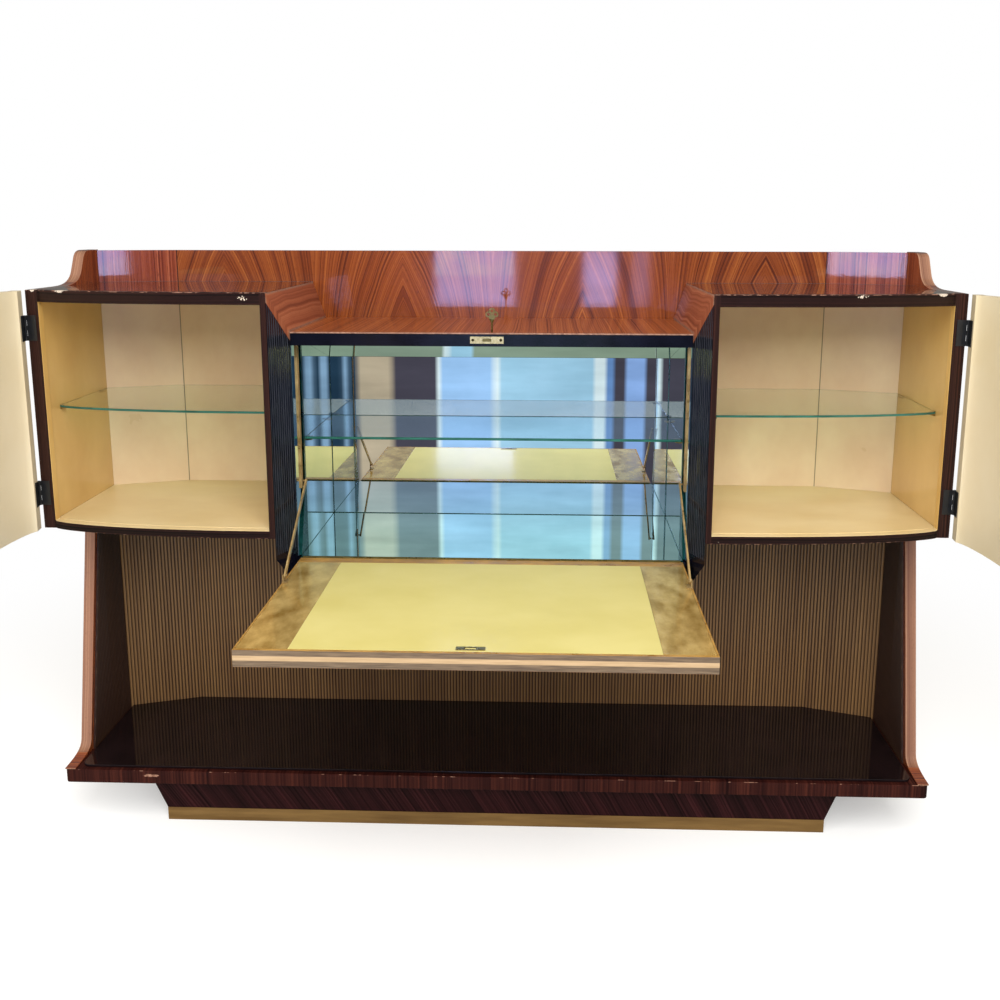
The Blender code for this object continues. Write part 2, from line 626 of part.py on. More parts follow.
def build_cabinet(side):
    """One bow-fronted cabinet: floor, top, inner side, face frame, shelf and its pegs."""
    word = side_name(side)
    reach = BOARD_INNER_X - SEAT_GAP
    behind = FRAME_DEPTH + SEAT_GAP
    rear = reversed(back_line(BACK_THICKNESS, CABINET_WALL_X, reach))
    panel = [*bow_line(CABINET_WALL_X, reach, behind), *rear]
    plan("cabinet_floor_" + word, mirrored(panel, side), CABINET_BOTTOM, CABINET_FLOOR_TOP, "blond_veneer")
    plan("cabinet_top_" + word, mirrored(panel, side), CABINET_CEILING, CABINET_TOP, "rosewood")

    wall_front = bow(CABINET_SIDE_INNER_X) + behind
    name = "cabinet_side_" + word
    wall = block(name, (side * CABINET_WALL_X, wall_front, CABINET_FLOOR_TOP + SEAT_GAP),
                 (side * CABINET_SIDE_INNER_X, BACK_FACE - SEAT_GAP, CABINET_CEILING - SEAT_GAP),
                 "blond_veneer")
    for index, y in enumerate(shelf_peg_places(CABINET_SIDE_INNER_X)):
        half_wall = CABINET_SIDE_THICKNESS / 2
        peg = rod(f"{name}_peg_{index}", (side * (CABINET_SIDE_INNER_X - half_wall), y, PEG_Z),
                  (side * (half_wall + PEG_LENGTH), 0, 0), PEG_RADIUS, PEG_SIDES, "brass")
        add(wall, peg)

    ring = bow_line(CABINET_WALL_X, HALF_WIDTH, 0)
    ring += list(reversed(bow_line(CABINET_WALL_X, HALF_WIDTH, FRAME_DEPTH)))
    frame = plan("face_frame_" + word, mirrored(ring, side), CABINET_BOTTOM, CABINET_TOP, "dark_rosewood")
    opening_low = (side * (CABINET_WALL_X + INNER_STILE), FRAME_FRONT - 2 * BOW_DEPTH,
                   CABINET_BOTTOM + BOTTOM_RAIL)
    opening_high = (side * FRAME_FLAT_X, FRAME_FRONT + 2 * FRAME_DEPTH, CABINET_TOP - TOP_RAIL)
    cut(frame, block("frame_opening_" + word, opening_low, opening_high, "brass"))

    shelf_inner = CABINET_SIDE_INNER_X + SHELF_END_PLAY
    shelf_outer = BOARD_INNER_X - SHELF_END_PLAY
    back_play = 2 * SHELF_END_PLAY
    shelf = [*bow_line(shelf_inner, shelf_outer, SHELF_SETBACK),
             (shelf_outer, cant_y(shelf_outer) - back_play),
             (CANT_X, BACK_FACE - back_play), (shelf_inner, BACK_FACE - back_play)]
    plan("cabinet_shelf_" + word, mirrored(shelf, side), SHELF_BOTTOM, SHELF_BOTTOM + GLASS_SHELF_THICKNESS,
         "clear_glass")


def build_bar_case():
    """The bar between the cabinets: cheeks, sloped panels, top, lock rail and floor."""
    back = BACK_FACE - SEAT_GAP
    corner_front = bow(CABINET_INNER_X)
    for side in (-1, 1):
        word = side_name(side)
        cheek_plan = [(BAR_HALF_WIDTH, BAR_FRONT), (CABINET_INNER_X, corner_front), (CABINET_INNER_X, back),
                      (BAR_HALF_WIDTH, back)]
        cheek = plan("bar_cheek_" + word, mirrored(cheek_plan, side), BAR_BOTTOM, CABINET_TOP,
                     "black_lacquer")
        comb = plan("cheek_reed_cutter_" + word, mirrored(reed_comb(corner_front), side),
                    REED_END, CABINET_TOP + OVERRUN, "brass")
        cut(cheek, comb)
        far_x = HALF_WIDTH
        ahead = corner_front - OVERRUN
        behind = back + OVERRUN
        seat = BAR_TOP - SLOPE_PANEL_DROP - SEAT_GAP
        over = far_x - BAR_HALF_WIDTH
        top_cut = [(side * BAR_HALF_WIDTH, seat), (side * far_x, seat + over * BAR_SLOPE),
                   (0, seat + over * BAR_SLOPE), (0, seat)]
        cut(cheek, front_profile("cheek_top_cutter_" + word, top_cut, ahead, behind, "brass"))
        low_x = BAR_HALF_WIDTH
        bottom_cut = [(side * low_x, BAR_BOTTOM), (side * far_x, BAR_BOTTOM + over * BAR_SLOPE),
                      (side * far_x, BAR_BOTTOM - OVERRUN), (side * low_x, BAR_BOTTOM - OVERRUN)]
        cut(cheek, front_profile("cheek_bottom_cutter_" + word, bottom_cut, ahead, behind, "brass"))
        peg_z = BAR_SHELF_BOTTOM - SEAT_GAP - PEG_RADIUS
        pegs = (BAR_FRONT + BAR_SHELF_SETBACK + PEG_FRONT_INSET, back - PEG_BACK_INSET)
        for index, y in enumerate(pegs):
            start = (side * (BAR_HALF_WIDTH + PEG_LENGTH / 2), y, peg_z)
            peg = rod(f"cheek_peg_{word}_{index}", start, (-side * 2 * PEG_LENGTH, 0, 0), PEG_RADIUS,
                      PEG_SIDES, "brass")
            add(cheek, peg)

        slope = [(side * CABINET_INNER_X, corner_front, CABINET_TOP),
                 (side * BAR_HALF_WIDTH, BAR_FRONT, BAR_TOP),
                 (side * BAR_HALF_WIDTH, back, BAR_TOP), (side * CABINET_INNER_X, back, CABINET_TOP)]
        solid("slope_panel_" + word, slope, (0, 0, -SLOPE_PANEL_DROP), "rosewood")

    lip_back = BAR_FRONT + RAIL_DEPTH
    top_profile = [(BAR_FRONT, BAR_TOP), (BAR_FRONT, BAR_TOP - BAR_TOP_LIP),
                   (lip_back + SEAT_GAP, BAR_TOP - BAR_TOP_LIP), (lip_back + SEAT_GAP, BAR_CEILING),
                   (back, BAR_CEILING), (back, BAR_TOP)]
    top = side_profile("bar_top", top_profile, -BAR_INNER_X, BAR_INNER_X, "rosewood")
    key_bore = KEY_SHAFT_RADIUS + KEY_BORE_PLAY
    cut(top, rod("key_bore_top", (KEY_X, KEY_Y, BAR_CEILING - OVERRUN),
                 (0, 0, BAR_TOP_THICKNESS + 2 * OVERRUN), key_bore, ROUND_SIDES, "brass"))

    rail_top = BAR_TOP - BAR_TOP_LIP - SEAT_GAP
    rail = block("lock_rail", (-BAR_INNER_X, BAR_FRONT, RAIL_BOTTOM), (BAR_INNER_X, lip_back, rail_top),
                 "black_lacquer")
    half_length = LOCK_CASE_LENGTH / 2 + LOCK_PLAY
    half_height = LOCK_CASE_HEIGHT / 2 + LOCK_PLAY
    mortise_back = BAR_FRONT + LOCK_CASE_DEPTH + LOCK_PLAY
    cut(rail, block("lock_mortise", (LOCK_CENTRE_X - half_length, BAR_FRONT - OVERRUN, LOCK_Z - half_height),
                    (LOCK_CENTRE_X + half_length, mortise_back, LOCK_Z + half_height), "brass"))
    cut(rail, rod("key_bore_rail", (KEY_X, KEY_Y, LOCK_Z), (0, 0, RAIL_HEIGHT), key_bore, ROUND_SIDES,
                  "brass"))

    glass_bottom = BAR_FLOOR - FLOOR_GLASS
    block("bar_floor", (-BAR_INNER_X, BAR_FRONT, BAR_BOTTOM), (BAR_INNER_X, back, glass_bottom - SEAT_GAP),
          "black_lacquer")
    block("bar_floor_mirror", (-SIDE_MIRROR_X + SEAT_GAP, BAR_FRONT, glass_bottom),
          (SIDE_MIRROR_X - SEAT_GAP, BACK_MIRROR_FACE - SEAT_GAP, BAR_FLOOR), "mirror")


def reed_comb(corner_front):
    """Plan of the comb that cuts the reeds into a bar cheek's canted front return."""
    start = Vector((BAR_HALF_WIDTH, BAR_FRONT))
    end = Vector((CABINET_INNER_X, corner_front))
    along = (end - start).normalized()
    inward = Vector((-along.y, along.x))
    ends = (start + along * RETURN_REED_MARGIN, end - along * RETURN_REED_MARGIN)
    crowns = [point - inward * SEAT_GAP for point in ends]
    grooves = [point + inward * REED_DEPTH for point in ends]
    ahead = [tuple(point - inward * OVERRUN) for point in reversed(ends)]
    return [tuple(point) for point in reed_line(crowns, grooves, RETURN_REED_PITCH)] + ahead


def build_bar_glass():
    """Mirrors on the bar's back, sides and sloped ceiling, and its glass shelf."""
    low = BAR_FLOOR - FLOOR_GLASS
    back = BACK_MIRROR_FACE + MIRROR_THICKNESS
    block("bar_back_mirror", (-BAR_INNER_X, BACK_MIRROR_FACE, low), (BAR_INNER_X, back, CEILING_BACK),
          "mirror")
    side_front = BAR_FRONT + SIDE_MIRROR_SETBACK
    peg_z = BAR_SHELF_BOTTOM - SEAT_GAP - PEG_RADIUS
    pegs = (BAR_FRONT + BAR_SHELF_SETBACK + PEG_FRONT_INSET, BACK_FACE - SEAT_GAP - PEG_BACK_INSET)
    for side in (-1, 1):
        word = side_name(side)
        name = "bar_side_mirror_" + word
        mirror_top = BAR_TOP - SLOPE_PANEL_DROP
        mirror = block(name, (side * SIDE_MIRROR_X, side_front, low),
                       (side * BAR_INNER_X, BACK_MIRROR_FACE - SEAT_GAP, mirror_top), "mirror")
        for index, y in enumerate(pegs):
            start = (side * (BAR_INNER_X + OVERRUN), y, peg_z)
            travel = (-side * (SIDE_MIRROR_THICKNESS + 2 * OVERRUN), 0, 0)
            cut(mirror, rod(f"{name}_hole_{index}", start, travel, PEG_RADIUS + LOCK_PLAY, PEG_SIDES,
                            "brass"))

    glass_x = SIDE_MIRROR_X - SEAT_GAP
    front_y = BAR_FRONT + CEILING_SETBACK
    high = BAR_CEILING - SEAT_GAP
    back_y = BACK_MIRROR_FACE
    ceiling = [(front_y, high - MIRROR_THICKNESS), (back_y, CEILING_BACK + SEAT_GAP),
               (back_y, CEILING_BACK + SEAT_GAP + MIRROR_THICKNESS), (front_y, high)]
    side_profile("bar_ceiling_mirror", ceiling, -glass_x, glass_x, "mirror")
    shelf_back = BACK_MIRROR_FACE - 2 * SHELF_END_PLAY
    block("bar_shelf", (-glass_x, BAR_FRONT + BAR_SHELF_SETBACK, BAR_SHELF_BOTTOM),
          (glass_x, shelf_back, BAR_SHELF_BOTTOM + BAR_SHELF_THICKNESS), "clear_glass")


def build_lock():
    """Lock case with its face plate, the sliding bolt and the key that turns it."""
    front = BAR_FRONT - SEAT_GAP - LOCK_PLATE_THICKNESS
    plate_half = LOCK_PLATE_LENGTH / 2
    plate = block("lock_case", (LOCK_CENTRE_X - plate_half, front, LOCK_Z - LOCK_PLATE_HEIGHT / 2),
                  (LOCK_CENTRE_X + plate_half, BAR_FRONT - SEAT_GAP, LOCK_Z + LOCK_PLATE_HEIGHT / 2), "brass")
    case_half = LOCK_CASE_LENGTH / 2
    case_front = front + LOCK_PLATE_THICKNESS / 2
    case = block("lock_case_body", (LOCK_CENTRE_X - case_half, case_front, LOCK_Z - LOCK_CASE_HEIGHT / 2),
                 (LOCK_CENTRE_X + case_half, BAR_FRONT + LOCK_CASE_DEPTH, LOCK_Z + LOCK_CASE_HEIGHT / 2),
                 "brass")
    add(plate, case)
    bolt_back = front + LOCK_PLAY + BOLT_DEPTH
    half = BOLT_LENGTH / 2 + LOCK_PLAY
    high = BOLT_HEIGHT / 2 + LOCK_PLAY
    cut(plate, block("bolt_channel", (LOCK_CENTRE_X - half, front - OVERRUN, LOCK_Z - high),
                     (LOCK_CENTRE_X + half, bolt_back + LOCK_PLAY, LOCK_Z + high), "brass"))
    key_tip = BAR_TOP - KEY_DEPTH
    cut(plate, rod("key_bore_case", (KEY_X, KEY_Y, key_tip - LOCK_PLAY), (0, 0, RAIL_HEIGHT),
                   KEY_SHAFT_RADIUS + KEY_BORE_PLAY, ROUND_SIDES, "brass"))
    block("lock_bolt", (LOCK_CENTRE_X - BOLT_LENGTH / 2, front + LOCK_PLAY, LOCK_Z - BOLT_HEIGHT / 2),
          (LOCK_CENTRE_X + BOLT_LENGTH / 2, bolt_back, LOCK_Z + BOLT_HEIGHT / 2), "brass")

    pivot = bpy.data.objects.new("key_axis", None)
    pivot.location = (KEY_X, KEY_Y, BAR_TOP)
    bpy.context.scene.collection.objects.link(pivot)
    key = rod("key", (0, 0, -KEY_DEPTH), (0, 0, KEY_DEPTH + KEY_SHAFT_RISE), KEY_SHAFT_RADIUS, ROUND_SIDES,
              "brass")
    add(key, rod("key_collar", (0, 0, KEY_SHAFT_RISE - KEY_COLLAR_HEIGHT), (0, 0, KEY_COLLAR_HEIGHT),
                 KEY_COLLAR_RADIUS, ROUND_SIDES, "brass"))
    centre = KEY_SHAFT_RISE + KEY_BOW_OFFSET + KEY_BOW_RADIUS / 2
    half_bow = KEY_BOW_THICKNESS / 2
    petals = [(0, -KEY_BOW_OFFSET), (KEY_BOW_OFFSET, 0), (0, KEY_BOW_OFFSET), (-KEY_BOW_OFFSET, 0)]
    for index, (dx, dz) in enumerate(petals):
        add(key, rod(f"key_petal_{index}", (dx, -half_bow, centre + dz), (0, KEY_BOW_THICKNESS, 0),
                     KEY_BOW_RADIUS, ROUND_SIDES, "brass"))
    for index, (dx, dz) in enumerate(petals[1:]):
        cut(key, rod(f"key_eye_{index}", (dx, -half_bow - OVERRUN, centre + dz),
                     (0, KEY_BOW_THICKNESS + 2 * OVERRUN, 0), KEY_BOW_HOLE, ROUND_SIDES, "brass"))
    key.parent = pivot
    for guide in bpy.data.objects:
        if guide.name.startswith(("key_collar", "key_petal", "key_eye")):
            guide.parent = pivot


def build_flap():
    """The drop flap: board, yellow panel, gold mirrors, strike plate and its half of the hinge."""
    back = HINGE_Y - HINGE_LINE_SETBACK
    front = HINGE_Y - FLAP_LENGTH
    low = BAR_FLOOR - FLAP_THICKNESS
    board = block("flap_board", (-FLAP_HALF_WIDTH, front, low), (FLAP_HALF_WIDTH, back, BAR_FLOOR),
                  "dark_rosewood")
    recess = BAR_FLOOR - INLAY_THICKNESS - SEAT_GAP
    recess_x = FLAP_HALF_WIDTH - FLAP_BORDER
    inlay_front = front + PANEL_FRONT_MARGIN
    inlay_back = HINGE_Y - PANEL_BACK_MARGIN
    cut(board, block("inlay_recess", (-recess_x, inlay_front, recess),
                     (recess_x, inlay_back, BAR_FLOOR + OVERRUN), "brass"))
    strike_y = HINGE_Y - (LOCK_Z - BAR_FLOOR)
    half = BOLT_LENGTH / 2 + 2 * LOCK_PLAY
    high = BOLT_HEIGHT / 2 + 2 * LOCK_PLAY
    pocket_low = (LOCK_CENTRE_X - half, strike_y - high, recess - BOLT_THROW)
    pocket_high = (LOCK_CENTRE_X + half, strike_y + high, BAR_FLOOR + OVERRUN)
    cut(board, block("bolt_pocket", pocket_low, pocket_high, "brass"))

    seat = recess + SEAT_GAP
    panel = block("flap_panel", (-PANEL_HALF_WIDTH, inlay_front + SEAT_GAP, seat),
                  (PANEL_HALF_WIDTH, inlay_back - SEAT_GAP, BAR_FLOOR), "yellow_laminate")
    cut(panel, block("bolt_hole_panel", pocket_low, pocket_high, "brass"))
    for side in (-1, 1):
        block("flap_mirror_" + side_name(side),
              (side * (PANEL_HALF_WIDTH + SEAT_GAP), inlay_front + SEAT_GAP, seat),
              (side * (recess_x - SEAT_GAP), inlay_back - SEAT_GAP, BAR_FLOOR), "gold_mirror")
    strike_low = BAR_FLOOR + SEAT_GAP
    strike_high = strike_low + STRIKE_THICKNESS
    strike = block("strike_plate",
                   (LOCK_CENTRE_X - STRIKE_LENGTH / 2, strike_y - STRIKE_WIDTH / 2, strike_low),
                   (LOCK_CENTRE_X + STRIKE_LENGTH / 2, strike_y + STRIKE_WIDTH / 2, strike_high), "brass")
    cut(strike, block("bolt_hole_strike", pocket_low, pocket_high, "brass"))


def build_piano_hinge():
    """A long knuckled hinge: the fixed leaf carries the pin, the flap's leaf turns on it."""
    pitch = PIANO_LENGTH / PIANO_KNUCKLES
    leaf_far = HINGE_LINE_SETBACK - SEAT_GAP
    leaf_near = leaf_far - PIANO_LEAF
    pin_start = (-PIANO_LENGTH / 2, HINGE_Y, BAR_FLOOR)
    for side, name in ((1, "flap_hinge_fixed"), (-1, "flap_hinge_moving")):
        plate_top = BAR_FLOOR - PIANO_RADIUS - KNUCKLE_GAP
        leaf = block(name, (-PIANO_LENGTH / 2, HINGE_Y + side * leaf_near, BAR_FLOOR - PIANO_LEAF_WIDTH),
                     (PIANO_LENGTH / 2, HINGE_Y + side * leaf_far, plate_top), "brass")
        first = 0 if side > 0 else 1
        for index in range(first, PIANO_KNUCKLES, 2):
            start_x = -PIANO_LENGTH / 2 + index * pitch + KNUCKLE_GAP / 2
            length = pitch - KNUCKLE_GAP
            knuckle = rod(f"{name}_knuckle_{index}", (start_x, HINGE_Y, BAR_FLOOR), (length, 0, 0),
                          PIANO_RADIUS, KNUCKLE_SIDES, "brass")
            tooth_near = PIANO_PIN_RADIUS + 2 * PIANO_PIN_PLAY
            tooth = block(f"{name}_tooth_{index}",
                          (start_x, HINGE_Y + side * tooth_near, plate_top - OVERRUN),
                          (start_x + length, HINGE_Y + side * leaf_far, BAR_FLOOR), "brass")
            add(leaf, tooth, knuckle)
        if side > 0:
            add(leaf, rod("flap_hinge_pin", pin_start, (PIANO_LENGTH, 0, 0), PIANO_PIN_RADIUS, PEG_SIDES,
                          "brass"))
        else:
            bore_start = (pin_start[0] - OVERRUN, HINGE_Y, BAR_FLOOR)
            cut(leaf, rod("flap_hinge_bore", bore_start, (PIANO_LENGTH + 2 * OVERRUN, 0, 0),
                          PIANO_PIN_RADIUS + PIANO_PIN_PLAY, PEG_SIDES, "brass"))


def build_stays():
    """Each flap stay: a grooved track on the cheek, a bracket on the flap and the arm between them."""
    foot = Vector((STAY_PIVOT_Y, STAY_PIVOT_Z))
    head = Vector((STAY_TOP_Y, STAY_TOP_Z))
    length = (head - foot).length
    along = (head - foot).normalized()
    for side in (-1, 1):
        word = side_name(side)
        wall = side * BAR_INNER_X
        face = side * (BAR_INNER_X - TRACK_THICKNESS)
        groove = side * (BAR_INNER_X - TRACK_THICKNESS + TRACK_GROOVE_DEPTH)
        half = TRACK_WIDTH / 2
        slot = TRACK_GROOVE / 2
        section = [(wall, STAY_TOP_Y - half), (wall, STAY_TOP_Y + half), (face, STAY_TOP_Y + half),
                   (face, STAY_TOP_Y + slot), (groove, STAY_TOP_Y + slot), (groove, STAY_TOP_Y - slot),
                   (face, STAY_TOP_Y - slot), (face, STAY_TOP_Y - half)]
        plan("stay_track_" + word, section, STAY_TOP_Z - TRACK_BELOW, RAIL_BOTTOM - TRACK_TOP_INSET, "brass")

        middle = side * STAY_X
        start_x = middle - STAY_THICKNESS / 2
        arm = stay_bar("stay_arm_" + word, foot, along, length, start_x)
        arm_outer = middle + side * STAY_THICKNESS / 2
        stud = (side * (STAY_THICKNESS / 2 + STAY_STUD_LENGTH), 0, 0)
        add(arm, rod(f"stay_stud_{word}", (middle, STAY_TOP_Y, STAY_TOP_Z), stud, STAY_PIN_RADIUS,
                     ROUND_SIDES, "brass"))
        eye = (STAY_THICKNESS + 2 * OVERRUN, 0, 0)
        cut(arm, rod(f"stay_eye_{word}", (start_x - OVERRUN, STAY_PIVOT_Y, STAY_PIVOT_Z), eye,
                     STAY_PIN_RADIUS + STAY_PIN_PLAY, ROUND_SIDES, "brass"))

        ear_inner = arm_outer + side * STAY_SIDE_PLAY
        ear_outer = ear_inner + side * BRACKET_EAR
        base_low = BAR_FLOOR + SEAT_GAP
        half_length = BRACKET_LENGTH / 2
        bracket = block("stay_bracket_" + word,
                        (ear_outer - side * BRACKET_WIDTH, STAY_PIVOT_Y - half_length, base_low),
                        (ear_outer, STAY_PIVOT_Y + half_length, base_low + BRACKET_BASE), "brass")
        ear_half = STAY_EYE_RADIUS
        ear = block(f"stay_ear_{word}", (ear_inner, STAY_PIVOT_Y - ear_half, base_low),
                    (ear_outer, STAY_PIVOT_Y + ear_half, STAY_PIVOT_Z + STAY_PIN_RADIUS), "brass")
        head_start = middle - side * (STAY_THICKNESS / 2 + STAY_SIDE_PLAY)
        pin_end = head_start - side * STAY_HEAD_THICKNESS
        pin = rod(f"stay_pin_{word}", (ear_outer - side * SEAT_GAP, STAY_PIVOT_Y, STAY_PIVOT_Z),
                  (pin_end - ear_outer + side * SEAT_GAP, 0, 0), STAY_PIN_RADIUS, ROUND_SIDES, "brass")
        cap = rod(f"stay_cap_{word}", (head_start, STAY_PIVOT_Y, STAY_PIVOT_Z),
                  (-side * STAY_HEAD_THICKNESS, 0, 0), STAY_HEAD_RADIUS, ROUND_SIDES, "brass")
        add(bracket, ear, pin, cap)


def stay_bar(name, foot, along, length, start_x):
    """Flat bar with round ends, from the foot point along a direction in the side plane."""
    across = Vector((-along.y, along.x))
    radius = STAY_WIDTH / 2
    outline = []
    for centre, turn in ((foot, 0.5), (foot + along * length, -0.5)):
        for index in range(CURVE_STEPS + 1):
            angle = math.pi * (turn + index / CURVE_STEPS)
            offset = radius * (math.cos(angle) * along + math.sin(angle) * across)
            outline.append(tuple(centre + offset))
    return side_profile(name, outline, start_x, start_x + STAY_THICKNESS, "brass")


def build_door(side):
    """One bow-fronted door with its two butt hinges, modelled shut and swung open on its axis."""
    word = side_name(side)
    pivot = bpy.data.objects.new(f"{word}_door_axis", None)
    pivot.location = (side * DOOR_AXIS_X, DOOR_AXIS_Y, 0)
    pivot.rotation_euler = (0, 0, -LEFT_DOOR_ANGLE if side < 0 else RIGHT_DOOR_ANGLE)
    bpy.context.scene.collection.objects.link(pivot)
    shift = Matrix.Translation((-side * DOOR_AXIS_X, -DOOR_AXIS_Y, 0))

    inner_x = CABINET_WALL_X + DOOR_REVEAL
    low = CABINET_BOTTOM + DOOR_REVEAL
    high = CABINET_TOP - DOOR_REVEAL
    outline = bow_line(inner_x, HALF_WIDTH, -DOOR_GAP - DOOR_THICKNESS)
    outline += list(reversed(bow_line(inner_x, HALF_WIDTH, -DOOR_GAP)))
    door = plan("door_" + word, mirrored(outline, side), low, high, "blond_veneer")
    hole_x = side * (inner_x + KEYHOLE_INSET)
    hole_start = (hole_x, FRAME_FRONT - 2 * BOW_DEPTH, (low + high) / 2)
    keyhole = rod(f"keyhole_{word}", hole_start, (0, 2 * BOW_DEPTH, 0), KEYHOLE_RADIUS, PEG_SIDES, "brass")
    cut(door, keyhole)
    moving = [door, keyhole]

    bottoms = (CABINET_BOTTOM + BUTT_BOTTOM_INSET, CABINET_TOP - BUTT_TOP_INSET - BUTT_HEIGHT)
    for level, bottom in zip(("lower", "upper"), bottoms):
        build_butt_fixed(side, f"frame_hinge_{word}_{level}", bottom)
        moving += build_butt_moving(side, f"door_hinge_{word}_{level}", bottom)
    for piece in moving:
        piece.data.transform(shift)
        piece.parent = pivot


def knuckle_spans(bottom):
    """Start and end heights of a butt hinge's knuckles."""
    pitch = BUTT_HEIGHT / BUTT_KNUCKLES
    return [(bottom + index * pitch + KNUCKLE_GAP / 2, bottom + (index + 1) * pitch - KNUCKLE_GAP / 2)
            for index in range(BUTT_KNUCKLES)]


def build_butt_fixed(side, name, bottom):
    """Leaf screwed to the outer stile, with three knuckles and the pin."""
    axis = (side * DOOR_AXIS_X, DOOR_AXIS_Y)
    leaf_back = FRAME_FRONT - SEAT_GAP
    leaf_front = leaf_back - BUTT_LEAF
    edge_x = HALF_WIDTH
    leaf = block(name, (side * (edge_x - BUTT_LEAF_WIDTH), leaf_front, bottom),
                 (side * edge_x, leaf_back, bottom + BUTT_HEIGHT), "black_iron")
    for index, (low, high) in enumerate(knuckle_spans(bottom)):
        if index % 2:
            continue
        web = block(f"{name}_web_{index}", (side * (edge_x - BUTT_LEAF), leaf_front, low),
                    (axis[0], leaf_back, high), "black_iron")
        knuckle = rod(f"{name}_knuckle_{index}", (*axis, low), (0, 0, high - low), BUTT_RADIUS, KNUCKLE_SIDES,
                      "black_iron")
        add(leaf, web, knuckle)
    add(leaf, rod(f"{name}_pin", (*axis, bottom + BUTT_LEAF), (0, 0, BUTT_HEIGHT - 2 * BUTT_LEAF),
                  BUTT_PIN_RADIUS, PEG_SIDES, "black_iron"))


def build_butt_moving(side, name, bottom):
    """Leaf screwed to the door's inner face, with two bored knuckles."""
    axis = (side * DOOR_AXIS_X, DOOR_AXIS_Y)
    leaf_front = FRAME_FRONT - DOOR_GAP + SEAT_GAP
    leaf_back = leaf_front + BUTT_LEAF
    edge_x = HALF_WIDTH
    pieces = []
    leaf = block(name, (side * (edge_x - BUTT_LEAF_WIDTH), leaf_front, bottom),
                 (side * edge_x, leaf_back, bottom + BUTT_HEIGHT), "black_iron")
    pieces.append(leaf)
    for index, (low, high) in enumerate(knuckle_spans(bottom)):
        if index % 2 == 0:
            continue
        web = block(f"{name}_web_{index}", (side * (edge_x - BUTT_LEAF), leaf_front, low),
                    (axis[0], leaf_back, high), "black_iron")
        knuckle = rod(f"{name}_knuckle_{index}", (*axis, low), (0, 0, high - low), BUTT_RADIUS, KNUCKLE_SIDES,
                      "black_iron")
        add(leaf, web, knuckle)
        pieces += [web, knuckle]
    bore = rod(f"{name}_bore", (*axis, bottom - OVERRUN), (0, 0, BUTT_HEIGHT + 2 * OVERRUN),
               BUTT_PIN_RADIUS + BUTT_PIN_PLAY, PEG_SIDES, "black_iron")
    cut(leaf, bore)
    pieces.append(bore)
    return pieces


def main():
    """Clear the scene and build every piece."""
    for item in list(bpy.data.objects):
        bpy.data.objects.remove(item)
    build_base()
    build_side_boards()
    build_backs()
    for side in (-1, 1):
        build_cabinet(side)
        build_door(side)
    build_bar_case()
    build_bar_glass()
    build_lock()
    build_flap()
    build_piano_hinge()
    build_stays()


main()
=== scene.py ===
"""Bar sideboard dressed for its studio picture.

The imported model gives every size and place. This script gives each piece its finish, softens
the edges that a hand would have eased, adds the small fittings, and sets floor, light and camera.
Metres, +Z up, the front faces -Y.
"""

import logging
import math
from abc import ABC, abstractmethod
from dataclasses import dataclass
from enum import Enum

import bmesh
import bpy
from mathutils import Matrix, Vector

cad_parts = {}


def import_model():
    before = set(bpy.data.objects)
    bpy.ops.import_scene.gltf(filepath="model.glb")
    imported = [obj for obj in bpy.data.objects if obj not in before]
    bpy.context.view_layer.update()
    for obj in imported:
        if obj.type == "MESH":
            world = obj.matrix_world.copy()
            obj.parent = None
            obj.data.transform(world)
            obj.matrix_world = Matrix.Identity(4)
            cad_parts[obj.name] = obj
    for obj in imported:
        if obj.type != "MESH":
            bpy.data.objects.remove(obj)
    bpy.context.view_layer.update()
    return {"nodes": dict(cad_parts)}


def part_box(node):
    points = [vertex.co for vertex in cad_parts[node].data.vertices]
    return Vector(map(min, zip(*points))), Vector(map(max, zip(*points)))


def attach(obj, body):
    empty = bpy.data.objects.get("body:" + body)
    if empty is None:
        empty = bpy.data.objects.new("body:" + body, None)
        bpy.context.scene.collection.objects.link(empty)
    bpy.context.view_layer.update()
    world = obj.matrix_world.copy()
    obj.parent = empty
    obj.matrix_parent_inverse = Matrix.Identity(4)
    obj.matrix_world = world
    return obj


LOG = logging.getLogger("bar_sideboard")
MM = 0.001
UM = 1e-6
WHITE = "#ffffff"
# Stands for "as far as the piece goes" in masks.
FAR = 2.0
SIDE_WORDS = {-1: "left", 1: "right"}

Socket = bpy.types.NodeSocket
Point = tuple[float, float, float]
Columns = tuple[tuple[float, str], ...]


def srgb(code: str) -> tuple[float, float, float, float]:
    """Turn an sRGB hex colour into a linear colour with full alpha.

    Args:
        code: The colour as "#rrggbb".

    Returns:
        Red, green, blue and alpha in linear values.
    """
    parts = [int(code[start:start + 2], 16) / 255 for start in (1, 3, 5)]
    linear = [part / 12.92 if part <= 0.04045 else ((part + 0.055) / 1.055) ** 2.4 for part in parts]
    return linear[0], linear[1], linear[2], 1.0


def add_node(tree: bpy.types.NodeTree, kind: str, settings: dict | None = None) -> bpy.types.Node:
    """Add one node with its settings and its incoming links.

    Args:
        tree: The node tree that gets the node.
        kind: Blender's name for the node's type.
        settings: Values by property name, or by input name or number. A socket is linked to its
            input, a hex colour is made linear, and "stops" fills a colour ramp.

    Returns:
        The new node.
    """
    node = tree.nodes.new(kind)
    for key, value in (settings or {}).items():
        if key == "stops":
            elements = node.color_ramp.elements
            while len(elements) < len(value):
                elements.new(0.5)
            for element, (position, colour) in zip(elements, value):
                element.position = position
                element.color = srgb(colour)
        elif isinstance(value, Socket):
            tree.links.new(value, node.inputs[key])
        elif isinstance(key, str) and key in node.bl_rna.properties:
            setattr(node, key, value)
        else:
            is_colour = isinstance(value, str) and value.startswith("#")
            node.inputs[key].default_value = srgb(value) if is_colour else value
    return node


